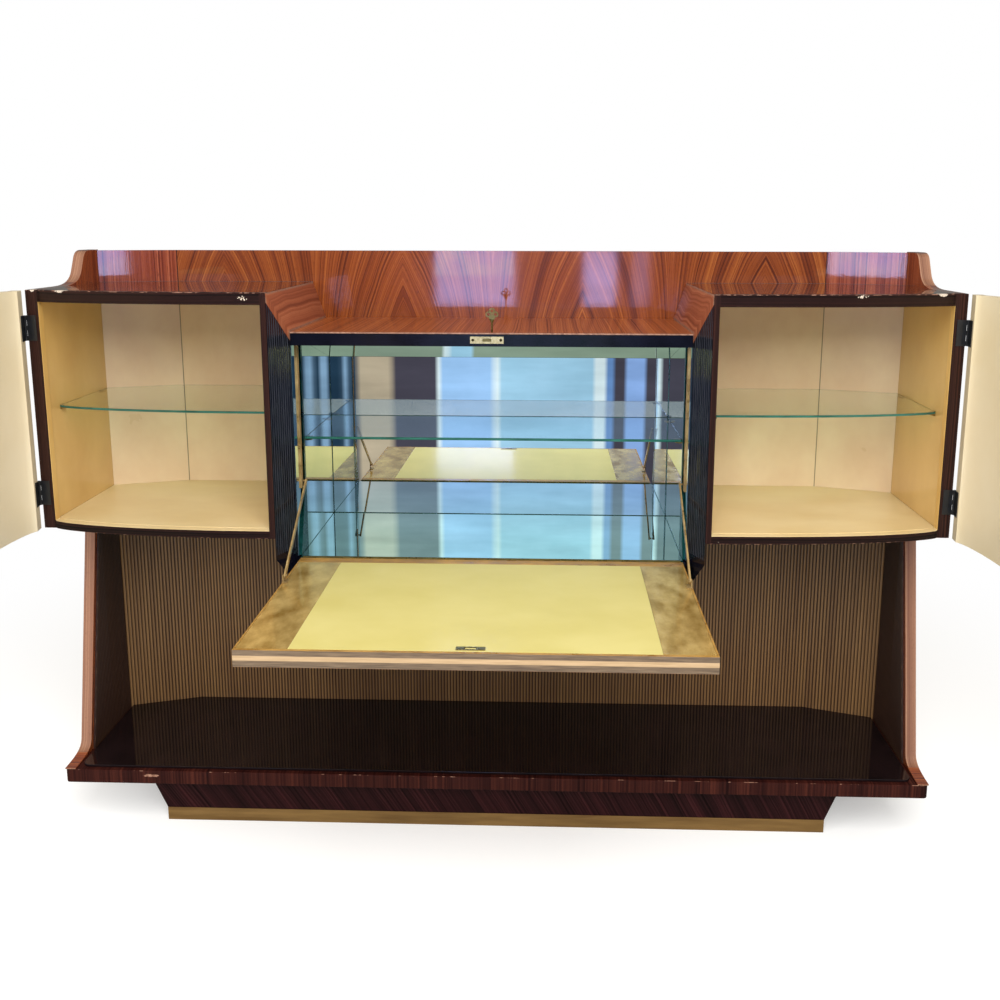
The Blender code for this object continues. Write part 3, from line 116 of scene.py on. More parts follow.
@dataclass(frozen=True)
class Wiring:
    """Short calls that add the common nodes to one tree and return the socket of their result.

    Numbers, vectors and hex colours can stand wherever a socket can.
    """

    tree: bpy.types.NodeTree

    def result(self, kind: str, settings: dict | None = None, output: int | str = 0) -> Socket:
        """Add any node.

        Args:
            kind: Blender's name for the node's type.
            settings: What add_node takes.
            output: Number or name of the output that is wanted.

        Returns:
            That output.
        """
        return add_node(self.tree, kind, settings).outputs[output]

    def calc(self, operation: str, *values: Socket | float) -> Socket:
        """Return the result of one operation on numbers."""
        return self.result("ShaderNodeMath", {"operation": operation, **dict(enumerate(values))})

    def product(self, first: Socket, *others: Socket | float) -> Socket:
        """Return the product of numbers."""
        for other in others:
            first = self.calc("MULTIPLY", first, other)
        return first

    def vector(self, operation: str, *values: Socket | Point) -> Socket:
        """Return the result of one operation on vectors: a number for LENGTH, else a vector."""
        settings = {"operation": operation, **dict(enumerate(values))}
        return self.result("ShaderNodeVectorMath", settings, "Value" if operation == "LENGTH" else "Vector")

    def rise(self, value: Socket, low: float, high: float, start: float = 0.0, end: float = 1.0) -> Socket:
        """Return start below low, end above high, and a straight slope between them."""
        return self.result("ShaderNodeMapRange", {0: value, 1: low, 2: high, 3: start, 4: end})

    def mix(self, amount: Socket | float, first: Socket, second: Socket) -> Socket:
        """Return two numbers mixed."""
        return self.result("ShaderNodeMix", {"data_type": "FLOAT", 0: amount, 2: first, 3: second})

    def blend(self, amount: Socket | float, first: Socket | str, second: Socket | str) -> Socket:
        """Return two colours mixed."""
        return self.result("ShaderNodeMix", {"data_type": "RGBA", 0: amount, 6: first, 7: second}, 2)

    def cover(self, amount: Socket, first: Socket, second: Socket) -> Socket:
        """Return two shaders mixed."""
        return self.result("ShaderNodeMixShader", {0: amount, 1: first, 2: second})

    def ramp(self, value: Socket, stops: list[tuple[float, str]]) -> Socket:
        """Return a value's colour on a ramp."""
        return self.result("ShaderNodeValToRGB", {"stops": stops, 0: value})

    def noise(self, place: Socket, scale: float, detail: float, roughness: float = 0.5) -> Socket:
        """Return smooth noise over places."""
        return self.result("ShaderNodeTexNoise", {"Vector": place, "Scale": scale, "Detail": detail,
                                                  "Roughness": roughness})

    def bands(self, distance: Socket, scale: float, detail: float, roughness: float = 0.5) -> Socket:
        """Return smooth noise over one distance."""
        return self.result("ShaderNodeTexNoise", {"noise_dimensions": "1D", "W": distance, "Scale": scale,
                                                  "Detail": detail, "Roughness": roughness})

    def joined(self, *values: Socket) -> Socket:
        """Return a vector made of two or three numbers."""
        return self.result("ShaderNodeCombineXYZ", dict(enumerate(values)))

    def parts(self, vector: Socket) -> list[Socket]:
        """Return a vector's X, Y and Z."""
        return list(add_node(self.tree, "ShaderNodeSeparateXYZ", {0: vector}).outputs)

    def place(self, kind: str = "Object") -> Socket:
        """Return each point's place on the piece, or its "Normal" or "Generated" direction."""
        return self.result("ShaderNodeTexCoord", output=kind)

    def rays(self) -> bpy.types.NodeOutputs:
        """Return the outputs that tell which kind of ray looks."""
        return add_node(self.tree, "ShaderNodeLightPath").outputs


def new_material(name: str) -> tuple[bpy.types.Material, Wiring]:
    """Make an empty material.

    Args:
        name: The material's name.

    Returns:
        The material and the wiring of its tree.
    """
    material = bpy.data.materials.new(name)
    material.use_nodes = True
    material.node_tree.nodes.clear()
    return material, Wiring(material.node_tree)


def add_object(name: str, data: bpy.types.ID) -> bpy.types.Object:
    """Put an object into the scene.

    Args:
        name: Its name.
        data: Its mesh, lamp or camera.

    Returns:
        The new object.
    """
    made = bpy.data.objects.new(name, data)
    bpy.context.scene.collection.objects.link(made)
    return made


class Axis(Enum):
    """One axis of the piece, with its number in a vector."""

    X = 0
    Y = 1
    Z = 2


class Grain(Enum):
    """Which way a veneer's grain runs: its along axis, then the axis across it."""

    SIDE_TO_SIDE = (Axis.X, Axis.Z)
    FRONT_TO_BACK = (Axis.Y, Axis.X)
    UPRIGHT = (Axis.Z, Axis.X)
    UPRIGHT_ON_END = (Axis.Z, Axis.Y)


@dataclass(frozen=True)
class Layer:
    """What one finish gives at each point: colour, roughness and height in metres."""

    colour: Socket
    roughness: Socket
    height: Socket


class Mask(ABC):
    """A place on a piece, as a value from 0 to 1."""

    @abstractmethod
    def socket(self, wires: Wiring) -> Socket:
        """Wire the mask up.

        Args:
            wires: The wiring of the material.

        Returns:
            A socket that is 1 on the place and 0 elsewhere.
        """


@dataclass(frozen=True)
class Facing(Mask):
    """Faces that look along an axis, or away from the middle plane where mirrored."""

    axis: Axis
    sign: int
    cut: float = 0.5
    mirrored: bool = False
    soft: float = 0.05

    def socket(self, wires: Wiring) -> Socket:
        """Return the mask of the faces that look this way."""
        value = wires.parts(wires.place("Normal"))[self.axis.value]
        if self.mirrored:
            side = wires.calc("SIGN", wires.parts(wires.place())[self.axis.value])
            value = wires.product(value, side)
        return wires.rise(wires.product(value, float(self.sign)), self.cut - self.soft, self.cut + self.soft)


@dataclass(frozen=True)
class Between(Mask):
    """The stretch between two places along an axis, on both sides where mirrored."""

    axis: Axis
    low: float
    high: float
    mirrored: bool = False
    soft: float = 0.4 * MM

    def socket(self, wires: Wiring) -> Socket:
        """Return the mask of the stretch."""
        value = wires.parts(wires.place())[self.axis.value]
        if self.mirrored:
            value = wires.calc("ABSOLUTE", value)
        rise = wires.rise(value, self.low - self.soft, self.low + self.soft)
        return wires.product(rise, wires.rise(value, self.high - self.soft, self.high + self.soft, 1.0, 0.0))


@dataclass(frozen=True)
class Both(Mask):
    """Where all of several masks meet."""

    masks: tuple[Mask, ...]

    def socket(self, wires: Wiring) -> Socket:
        """Return the masks multiplied together."""
        return wires.product(*(mask.socket(wires) for mask in self.masks))


@dataclass(frozen=True)
class Worn(Mask):
    """A mask broken up into patches, as rubbing and knocks leave a finish."""

    where: Mask
    patch_mm: float = 6.0
    cover: float = 0.5

    # Noise level above which a patch starts: where nothing is covered, and how far full cover lowers it.
    NO_COVER = 0.68
    COVER_SPAN = 0.36
    SOFT = 0.03

    def socket(self, wires: Wiring) -> Socket:
        """Return the patches inside the mask."""
        noise = wires.noise(wires.place(), 1 / (self.patch_mm * MM), 3.0)
        edge = self.NO_COVER - self.COVER_SPAN * self.cover
        return wires.product(wires.rise(noise, edge - self.SOFT, edge + self.SOFT), self.where.socket(wires))


@dataclass(frozen=True)
class Patch(Mask):
    """An uneven round patch at one point."""

    centre: Point
    radius: float
    stretch: Point = (1.0, 1.0, 1.0)

    RAGGED_MM = 4
    RAGGED_SHARE = 0.8
    CORE_SHARE = 0.9

    def socket(self, wires: Wiring) -> Socket:
        """Return the mask of the patch."""
        place = wires.place()
        noise = wires.noise(place, 1 / (self.RAGGED_MM * MM), 3.0)
        swing = self.RAGGED_SHARE * self.radius
        jitter = wires.calc("MULTIPLY_ADD", noise, 2 * swing, -swing)
        offset = wires.vector("MULTIPLY", wires.vector("SUBTRACT", place, self.centre), self.stretch)
        reach = wires.calc("ADD", wires.vector("LENGTH", offset), jitter)
        return wires.rise(reach, self.CORE_SHARE * self.radius, self.radius, 1.0, 0.0)


class Finish(ABC):
    """A real surface finish that can be laid on a piece."""

    name: str
    metallic: float = 0.0
    transmission: float = 0.0
    ior: float = 1.5
    coat: float = 0.0
    coat_roughness: float = 0.04

    @abstractmethod
    def layer(self, wires: Wiring) -> Layer:
        """Wire the finish up.

        Args:
            wires: The wiring of the material.

        Returns:
            The finish's colour, roughness and height.
        """

    def shine(self) -> "Finish":
        """Return the finish that gives the material its shine."""
        return self

    def surface(self, wires: Wiring, shader: Socket) -> Socket:
        """Return what feeds the material's output: the shader itself, unless a finish adds to it."""
        return shader

    def material(self) -> bpy.types.Material:
        """Build the finish as a material, once.

        Returns:
            The material of this finish.
        """
        made = bpy.data.materials.get(self.name)
        if made is not None:
            return made
        made, wires = new_material(self.name)
        layer = self.layer(wires)
        shine = self.shine()
        bump = wires.result("ShaderNodeBump", {"Strength": 1.0, "Distance": 1.0, "Height": layer.height})
        settings = {"Base Color": layer.colour, "Roughness": layer.roughness, "Metallic": shine.metallic,
                    "Coat Weight": shine.coat, "Coat Roughness": shine.coat_roughness,
                    "Transmission Weight": shine.transmission, "Normal": bump, "Coat Normal": bump}
        if not shine.metallic:
            settings["IOR"] = shine.ior
        shader = wires.result("ShaderNodeBsdfPrincipled", settings)
        add_node(wires.tree, "ShaderNodeOutputMaterial", {"Surface": shine.surface(wires, shader)})
        return made


@dataclass(frozen=True)
class SlicedVeneer(Finish):
    """Sliced rosewood under hand-rubbed polish: growth lines, pores, and a lacquer that mirrors windows.

    Where peak_spacing is 0 the growth lines run straight or at a slant. Otherwise they rise to a peak
    in the middle of each leaf, and each leaf is cut from another stretch of the tree.
    """

    name: str
    grain: Grain
    tones: tuple[str, str, str, str]
    line_mm: float
    peak_spacing: float = 0.0
    first_peak: float = 0.0
    peak_foot: float = 0.0
    lean: float = 0.5
    wander_mm: float = 6.0
    slant: float = 0.0
    contrast: float = 1.0
    roughness: float = 0.12
    coat: float = 1.0
    coat_roughness: float = 0.035
    ior: float = 1.5
    ripple_um: float = 9.0
    peel_mm: float = 22.0

    # How often in a metre growth lines wander across, and the share of that along them.
    WANDER_SCALE = 9.0
    WANDER_ALONG_SHARE = 0.3
    # What is left of the lean at a leaf's edge, and how many metres of tree lie between two leaves.
    EDGE_LEAN_SHARE = 0.1
    LEAF_JUMP = 3.7
    # Broad bands come this share as often as growth lines, and make up this much of the tone.
    BROAD_SHARE = 0.16
    BROAD_WEIGHT = 0.36
    # Noise on each side of its middle that the tones span.
    TONE_SPAN = 0.17
    # Relief of the grain beside the peel's, and roughness of the open grain beside the polish's.
    SUNK_SHARE = 0.45
    DULL_SHARE = 1.6
    # Real pores are 0.2 mm wide and 3 mm long. They are drawn wider and longer, the least that shows.
    PORE_WIDTH_MM = 1.0
    PORE_LENGTH_MM = 14

    def lines(self, wires: Wiring) -> Socket:
        """Return the distance across the growth lines, in metres.

        Args:
            wires: The wiring of the material.

        Returns:
            A socket whose equal values follow one growth line.
        """
        where = wires.parts(wires.place())
        along, across = (where[axis.value] for axis in self.grain.value)
        stretched = wires.joined(across, across, wires.product(along, self.WANDER_ALONG_SHARE))
        wander = wires.noise(stretched, self.WANDER_SCALE, 2.0)
        shift = wires.calc("MULTIPLY_ADD", wander, 2 * self.wander_mm * MM, -self.wander_mm * MM)
        if not self.peak_spacing:
            return wires.calc("ADD", wires.calc("MULTIPLY_ADD", along, self.slant, across), shift)
        half = self.peak_spacing / 2
        centred = wires.calc("SUBTRACT", across, self.first_peak)
        leaf = wires.calc("PINGPONG", centred, half)
        slope = wires.rise(leaf, 0.0, half, 1.0, self.EDGE_LEAN_SHARE)
        rise = wires.product(wires.calc("SUBTRACT", along, self.peak_foot), self.lean)
        lift = wires.calc("MULTIPLY_ADD", rise, slope, leaf)
        number = wires.calc("ROUND", wires.calc("DIVIDE", centred, self.peak_spacing))
        return wires.calc("ADD", wires.calc("MULTIPLY_ADD", number, self.LEAF_JUMP, lift), shift)

    def layer(self, wires: Wiring) -> Layer:
        """Lay growth lines, broad bands and pores under lacquer."""
        across = self.lines(wires)
        line = self.line_mm * MM
        fine = wires.bands(across, 1 / line, 4.0, 0.62)
        broad = wires.bands(across, self.BROAD_SHARE / line, 1.0)
        span = self.TONE_SPAN / self.contrast
        spread = wires.rise(wires.mix(self.BROAD_WEIGHT, fine, broad), 0.5 - span, 0.5 + span)
        dark, body, light, glow = self.tones
        tone = wires.ramp(spread, [(0.0, dark), (0.34, body), (0.68, light), (1.0, glow)])
        # Lacquer sinks a few micrometres into the open grain and lies in soft orange peel.
        peel = wires.noise(wires.place(), 1 / (self.peel_mm * MM), 2.0)
        relief = wires.calc("ADD", wires.product(fine, self.SUNK_SHARE), peel)
        return Layer(wires.blend(self.pores(wires), tone, dark),
                     wires.rise(fine, 0.3, 0.7, self.roughness * self.DULL_SHARE, self.roughness),
                     wires.product(relief, self.ripple_um * UM))

    def pores(self, wires: Wiring) -> Socket:
        """Return the mask of the open pores, short dark dashes along the grain.

        Args:
            wires: The wiring of the material.

        Returns:
            A socket that is above 0 on a pore.
        """
        scale = [1 / (self.PORE_WIDTH_MM * MM)] * 3
        scale[self.grain.value[0].value] = 1 / (self.PORE_LENGTH_MM * MM)
        dashes = wires.noise(wires.vector("MULTIPLY", wires.place(), scale), 1.0, 1.0)
        return wires.rise(dashes, 0.60, 0.72, 0.0, 0.55)


@dataclass(frozen=True)
class ReededLining(Finish):
    """Walnut run through a reeding plane and rubbed with gilt: dark grooves, partly painted shade, under
    bronze crowns.
    """

    name: str
    cant_x: float
    wall_x: float
    cant_angle: float
    shaded_groove: str = "#2f1d15"
    crown: str = "#927046"
    shade: str = "#5e422b"

    STREAKS_IN_A_METRE = (60.0, 60.0, 2.5)

    def layer(self, wires: Wiring) -> Layer:
        """Lay gilt on the reeds' crowns, and dark stain with painted shade in their grooves.

        A crown looks straight out of the board that it is on: the back, a canted end or a side wall.
        """
        place = wires.place()
        where_x = wires.parts(place)[0]
        normal_x, normal_y, _ = wires.parts(wires.place("Normal"))
        away = wires.calc("ABSOLUTE", where_x)
        flat = wires.product(normal_y, -1.0)
        wing = wires.product(normal_x, wires.calc("SIGN", where_x), -1.0)
        turned = wires.product(wing, math.sin(self.cant_angle))
        canted = wires.calc("MULTIPLY_ADD", flat, math.cos(self.cant_angle), turned)
        back = wires.mix(wires.calc("GREATER_THAN", away, self.cant_x), flat, canted)
        facing = wires.mix(wires.calc("GREATER_THAN", away, self.wall_x), back, wing)
        crown = wires.rise(facing, 0.86, 0.985)
        streak = wires.noise(wires.vector("MULTIPLY", place, self.STREAKS_IN_A_METRE), 1.0, 3.0)
        gilt = wires.blend(streak, self.shade, self.crown)
        # Grooves and the reeds' flanks take the dark tone: stain, and painted shade in the hollows.
        return Layer(wires.blend(crown, self.shaded_groove, gilt), wires.rise(crown, 0.0, 1.0, 0.5, 0.3),
                     wires.product(streak, 20 * UM))


@dataclass(frozen=True)
class Mottled(Finish):
    """A surface of two close tones that drift into each other, such as lacquer, laminate or patina."""

    name: str
    tones: tuple[str, str]
    cloud_mm: Point = (60, 60, 60)
    speck_mm: float = 1.5
    speck: float = 0.0
    roughness: float = 0.3
    roughness_swing: float = 0.08
    relief_um: float = 2.0
    metallic: float = 0.0
    transmission: float = 0.0
    ior: float = 1.5
    coat: float = 0.0
    coat_roughness: float = 0.04

    def layer(self, wires: Wiring) -> Layer:
        """Lay the drifting tones with fine specks."""
        first, second = self.tones
        place = wires.place()
        scale = tuple(1 / (size * MM) for size in self.cloud_mm)
        cloud = wires.noise(wires.vector("MULTIPLY", place, scale), 1.0, 4.0, 0.55)
        tone = wires.blend(wires.rise(cloud, 0.32, 0.68), first, second)
        grit = wires.noise(place, 1 / (self.speck_mm * MM), 2.0)
        fleck = wires.rise(grit, 0.60, 0.75, 0.0, self.speck)
        rough = wires.rise(cloud, 0.3, 0.7, max(self.roughness - self.roughness_swing, 0.0),
                           self.roughness + self.roughness_swing)
        return Layer(wires.blend(fleck, tone, first), rough, wires.product(grit, self.relief_um * UM))


@dataclass(frozen=True)
class LeaningMirror(Mottled):
    """A silvered sheet whose face leans back a little as it rises, so that it shows less of the floor."""

    lean: float = 0.0

    def layer(self, wires: Wiring) -> Layer:
        """Lay the silver and add the lean to its height."""
        flat = super().layer(wires)
        height = wires.calc("MULTIPLY_ADD", wires.parts(wires.place())[Axis.Z.value], -self.lean, flat.height)
        return Layer(flat.colour, flat.roughness, height)


@dataclass(frozen=True)
class FloatGlass(Mottled):
    """Clear float glass: lamps reach through it, and its cut edges gather its green."""

    edge_tones: tuple[str, str] = ("#17443a", "#2d675a")

    def surface(self, wires: Wiring, shader: Socket) -> Socket:
        """Lay the green on the cut edges, and let shadow and diffuse rays through the sheet.

        Args:
            wires: The wiring of the material.
            shader: The glass shader.

        Returns:
            The glass with green edges and clear shadows.
        """
        edge = Mottled("edge", self.edge_tones, (50, 50, 4), roughness=0.12).layer(wires)
        cut = wires.result("ShaderNodeBsdfPrincipled", {"IOR": self.ior, "Base Color": edge.colour,
                                                        "Roughness": edge.roughness})
        flat = wires.calc("MAXIMUM", *(Facing(Axis.Z, sign).socket(wires) for sign in (1, -1)))
        rays = wires.rays()
        lit = wires.calc("MAXIMUM", rays["Is Shadow Ray"], rays["Is Diffuse Ray"])
        clear = wires.result("ShaderNodeBsdfTransparent", {"Color": "#e6f4ec"})
        return wires.cover(lit, wires.cover(flat, cut, shader), clear)


@dataclass(frozen=True)
class Overlaid(Finish):
    """A finish with other finishes laid over parts of it: edge bands, veneered faces, wear."""

    name: str
    ground: Finish
    overlays: tuple[tuple[Mask, Finish], ...]

    def layer(self, wires: Wiring) -> Layer:
        """Mix the ground with each overlay where its mask says."""
        under = self.ground.layer(wires)
        for mask, finish in self.overlays:
            amount, over = mask.socket(wires), finish.layer(wires)
            under = Layer(wires.blend(amount, under.colour, over.colour),
                          wires.mix(amount, under.roughness, over.roughness),
                          wires.mix(amount, under.height, over.height))
        return under

    def shine(self) -> Finish:
        """Return the ground, whose shine the whole has."""
        return self.ground


@dataclass(frozen=True)
class Sizes:
    """Places that the finishes and fittings need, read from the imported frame."""

    half_width: float
    front: float
    slab_top: float
    cabinet_bottom: float
    cabinet_top: float
    cabinet_floor: float
    cabinet_ceiling: float
    cabinet_inner_x: float
    cant_x: float
    cant_angle: float
    lining_x: float
    bar_front: float
    bar_top: float
    bar_floor: float
    gallery_top: float

    CANT_WIDTH = 0.1744
    CANT_DEPTH = 0.057
    BOARD_THICKNESS = 0.025
    LINING_THICKNESS = 0.004

    @classmethod
    def from_frame(cls) -> "Sizes":
        """Read the places from the nodes' boxes.

        Returns:
            The places of this piece.
        """
        slab_low, slab_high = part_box("base_slab")
        face_low, face_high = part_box("face_frame_right")
        bar_low, bar_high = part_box("bar_top")
        inner_x = slab_high.x - cls.BOARD_THICKNESS
        return cls(
            half_width=slab_high.x, front=slab_low.y, slab_top=slab_high.z, cabinet_bottom=face_low.z,
            cabinet_top=face_high.z, cabinet_floor=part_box("cabinet_floor_right")[1].z,
            cabinet_ceiling=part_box("cabinet_top_right")[0].z, cabinet_inner_x=face_low.x,
            cant_x=inner_x - cls.CANT_WIDTH, cant_angle=math.atan2(cls.CANT_DEPTH, cls.CANT_WIDTH),
            lining_x=inner_x - cls.LINING_THICKNESS, bar_front=bar_low.y, bar_top=bar_high.z,
            bar_floor=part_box("bar_floor_mirror")[1].z, gallery_top=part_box("gallery_back")[1].z)


class Shop:
    """The finishes that this piece uses, each made once."""

    def __init__(self, sizes: Sizes) -> None:
        """Mix every finish for the places that the frame gives.

        Args:
            sizes: Places read from the frame.
        """
        # Rosewood: orange-brown with near-black growth lines, under a polish that mirrors the windows.
        self.gallery_rosewood = SlicedVeneer(
            "rosewood_gallery", Grain.UPRIGHT, ("#3d1b0c", "#693013", "#84431b", "#9d5b28"), 4.6,
            peak_spacing=0.445, first_peak=-0.2373, peak_foot=(sizes.bar_top + sizes.gallery_top) / 2,
            contrast=0.8, ior=1.25, ripple_um=14.0)
        self.cant_rosewood = SlicedVeneer(
            "rosewood_cant", Grain.UPRIGHT, ("#43190f", "#70301b", "#8a4428", "#a35d3c"), 3.4, ior=1.25,
            ripple_um=30.0, peel_mm=9.0)
        self.end_rosewood = SlicedVeneer(
            "rosewood_end", Grain.UPRIGHT_ON_END, ("#45190c", "#73331a", "#8a4522", "#9f5a30"), 4.6)
        # The bar's top keeps a soft polish; the cabinets' tops are all but mirrors.
        self.top_rosewood = SlicedVeneer(
            "rosewood_top", Grain.FRONT_TO_BACK, ("#4d1f0d", "#8a431c", "#a35628", "#b86c36"), 3.6,
            roughness=0.3, coat=0.6, coat_roughness=0.06)
        self.polished_top = SlicedVeneer(
            "mirror_polished_rosewood_top", Grain.FRONT_TO_BACK,
            ("#1a0b07", "#2e130b", "#40200f", "#502a16"), 5.0, roughness=0.25, coat_roughness=0.015,
            ior=1.3, ripple_um=2.0)
        # Paler rosewood that light has bleached and hands have dulled.
        self.slope_rosewood = SlicedVeneer(
            "rosewood_slope", Grain.FRONT_TO_BACK, ("#5a2818", "#86442c", "#9a5639", "#ad6948"), 3.0,
            wander_mm=10.0, roughness=0.42, coat=0.25, coat_roughness=0.12)
        self.board_edge = SlicedVeneer(
            "rubbed_board_edge", Grain.UPRIGHT, ("#633a27", "#865a42", "#976c51", "#a98064"), 3.0,
            roughness=0.42, coat=0.2, coat_roughness=0.15)
        # Stained rosewood, nearly black and satin, so that its figure only just shows.
        self.dark_rails = SlicedVeneer(
            "dark_rosewood_rails", Grain.SIDE_TO_SIDE, ("#0b0403", "#180a07", "#28130f", "#3c221b"), 4.0,
            roughness=0.4, coat=0.1, coat_roughness=0.1, ior=1.3)
        self.dark_stiles = SlicedVeneer(
            "dark_rosewood_stiles", Grain.UPRIGHT, ("#120605", "#210f0b", "#301812", "#40241b"), 3.4,
            roughness=0.4, coat=0.1, coat_roughness=0.1, ior=1.3)
        self.plinth_rosewood = SlicedVeneer(
            "dark_rosewood_plinth", Grain.UPRIGHT, ("#170708", "#210b0d", "#2d1113", "#3a181a"), 6.0,
            slant=0.5, roughness=0.5, coat=0.0, ior=1.2)
        self.slab_rosewood = SlicedVeneer(
            "dark_rosewood_slab", Grain.FRONT_TO_BACK, ("#1e0908", "#2c100d", "#391812", "#472017"), 6.0,
            roughness=0.45, coat=0.05, coat_roughness=0.15, ior=1.2)
        # Blond linings: sycamore under yellowed lacquer, satin and almost without figure.
        self.blond = Mottled("blond_sycamore", ("#d4b984", "#dfc99a"), (160, 90, 160), 3.0, 0.06, 0.36)
        self.back_beige = Mottled("beige_satin_back", ("#d1b190", "#dfc6a4"), (140, 140, 180), 3.0, 0.06,
                                  0.34)
        # Side walls get a deeper, more saturated golden than floor and back. This is partly painted shade and
        # bounce light, because the lamps stand in front.
        self.golden_with_shade = Mottled("golden_sycamore_with_painted_shade", ("#c99f57", "#dbb672"), (160, 160, 260), 3.0, 0.08, 0.38)
        self.door_cream = Mottled("cream_door_lining", ("#d3c3a0", "#dccfb2"), (220, 220, 260), 3.0, 0.05,
                                  0.36)
        self.thin_line = Mottled("grey_joint_line", ("#6f6350", "#857762"), roughness=0.5)
        self.seam = Mottled("dark_glue_seam", ("#1c0b07", "#2c130c"), roughness=0.5)
        # Plain plywood behind, dull and streaked upright.
        self.raw_ply = Mottled("raw_plywood_back", ("#8e6a42", "#a9865a"), (30, 30, 400), speck=0.3,
                               roughness=0.75)
        self.reeded = ReededLining("reeded_gilt_walnut", sizes.cant_x, sizes.lining_x, sizes.cant_angle)
        # Black lacquer: a faint blue cast and deep gloss. The reeds' forward-facing crowns are greyer, which
        # is a painted highlight.
        self.black_lacquer = Mottled("gloss_black_lacquer", ("#08080f", "#0e0e19"), speck=0.2, roughness=0.1,
                                     roughness_swing=0.03, ior=1.35)
        self.highlit_black_reed = Mottled("black_reed_painted_highlight", ("#202127", "#30323a"), (4, 4, 50))
        self.black_glass = Mottled("black_back_painted_glass", ("#100a0b", "#1a1011"), roughness=0.05,
                                   roughness_swing=0.03, relief_um=0.4, ior=1.52)
        # Old brass: yellow-brown, streaked along the strip, dull where fingers don't reach.
        self.brass = Mottled("old_brass", ("#8f7640", "#b99d5c"), (25, 25, 25), speck=0.35, roughness=0.32,
                             roughness_swing=0.12, metallic=1.0)
        self.kick_brass = Mottled("dull_brass_strip", ("#6f5029", "#8c6a3a"), (160, 40, 14), speck=0.4,
                                  roughness=0.42, roughness_swing=0.12, metallic=0.3)
        self.strip_brass = Mottled("worn_strip_brass", ("#9c7c48", "#d2b27a"), (20, 20, 30), speck=0.3,
                                   roughness=0.34, roughness_swing=0.12, metallic=0.55)
        self.pale_brass = Mottled("rubbed_lock_brass", ("#b5a473", "#e6d8ac"), (9, 9, 9), speck=0.4,
                                  roughness=0.38, roughness_swing=0.12, metallic=0.6)
        self.dark_screw = Mottled("darkened_screw", ("#3a3020", "#6b5a38"), (4, 4, 4), speck=0.4,
                                  roughness=0.4, metallic=0.8)
        self.steel = Mottled("blackened_steel", ("#101012", "#1d1d1f"), (12, 12, 12), speck=0.4,
                             roughness=0.45, roughness_swing=0.1, coat=0.3)
        # Edge of mirror plate: green glass over silver gone black.
        self.dark_edge = Mottled("dark_green_mirror_edge", ("#1b473e", "#327064"), (30, 30, 30))
        self.mid_edge = Mottled("grey_green_mirror_joint", ("#6f938a", "#8fb2a9"), (30, 30, 30))
        self.pale_edge = Mottled("pale_green_mirror_edge", ("#a9c9c0", "#c9e2da"), (30, 30, 30),
                                 roughness=0.2)
        # Glass and silver: sharp, faintly green, the back mirror leaning, the gold one aged and blurred.
        self.clear_glass = FloatGlass("clear_float_glass", ("#eef8f2", "#f4fbf7"), (200, 200, 200),
                                      roughness=0.0, roughness_swing=0.0, relief_um=0.0, transmission=1.0,
                                      ior=1.52)
        silver = {"tones": ("#e6efec", "#eff5f2"), "cloud_mm": (90, 90, 90), "speck_mm": 2.5, "speck": 0.1,
                  "roughness": 0.004, "roughness_swing": 0.003, "relief_um": 0.02, "metallic": 1.0}
        self.silver = Mottled("silvered_mirror", **silver)
        self.leaning_silver = LeaningMirror("leaning_silvered_mirror", **silver, lean=0.0085)
        self.gold_mirror = Mottled("antique_gold_mirror", ("#a8833f", "#ecc97e"), (38, 70, 30), 2.0, 0.3,
                                   0.16, metallic=0.5)
        self.laminate = Mottled("lemon_yellow_laminate", ("#cbbd70", "#d3c67e"), (160, 110, 60), speck=0.08,
                                roughness=0.5, roughness_swing=0.05, ior=1.4, coat=0.25, coat_roughness=0.14)
        # Bands on the flap's edge: brown veneers of three tones, thin and streaked along.
        self.gold_band = Mottled("golden_brown_edge_band", ("#8a6228", "#b98d46"), (55, 30, 6), speck=0.35,
                                 roughness=0.34, roughness_swing=0.1)
        self.cream_band = Mottled("cream_edge_band", ("#a68a66", "#b99c78"), (50, 3, 3), speck=0.3,
                                  roughness=0.45)
        self.grey_band = Mottled("grey_brown_edge_band", ("#58483a", "#7b6751"), (45, 6, 2), speck=0.4,
                                 roughness=0.42)
        # Wear: polish rubbed through to dry brown wood, and chips down to pale bare wood. The same brown also
        # paints highlights along the slope panels' edges.
        self.rubbed_and_edge_highlight = Mottled("polish_rubbed_off_and_edge_highlight", ("#6d4a3b", "#a07a66"), (5, 5, 5), roughness=0.6)
        self.chipped = Mottled("bare_chipped_wood", ("#a89684", "#d8cbbb"), (3, 3, 3), roughness=0.7)


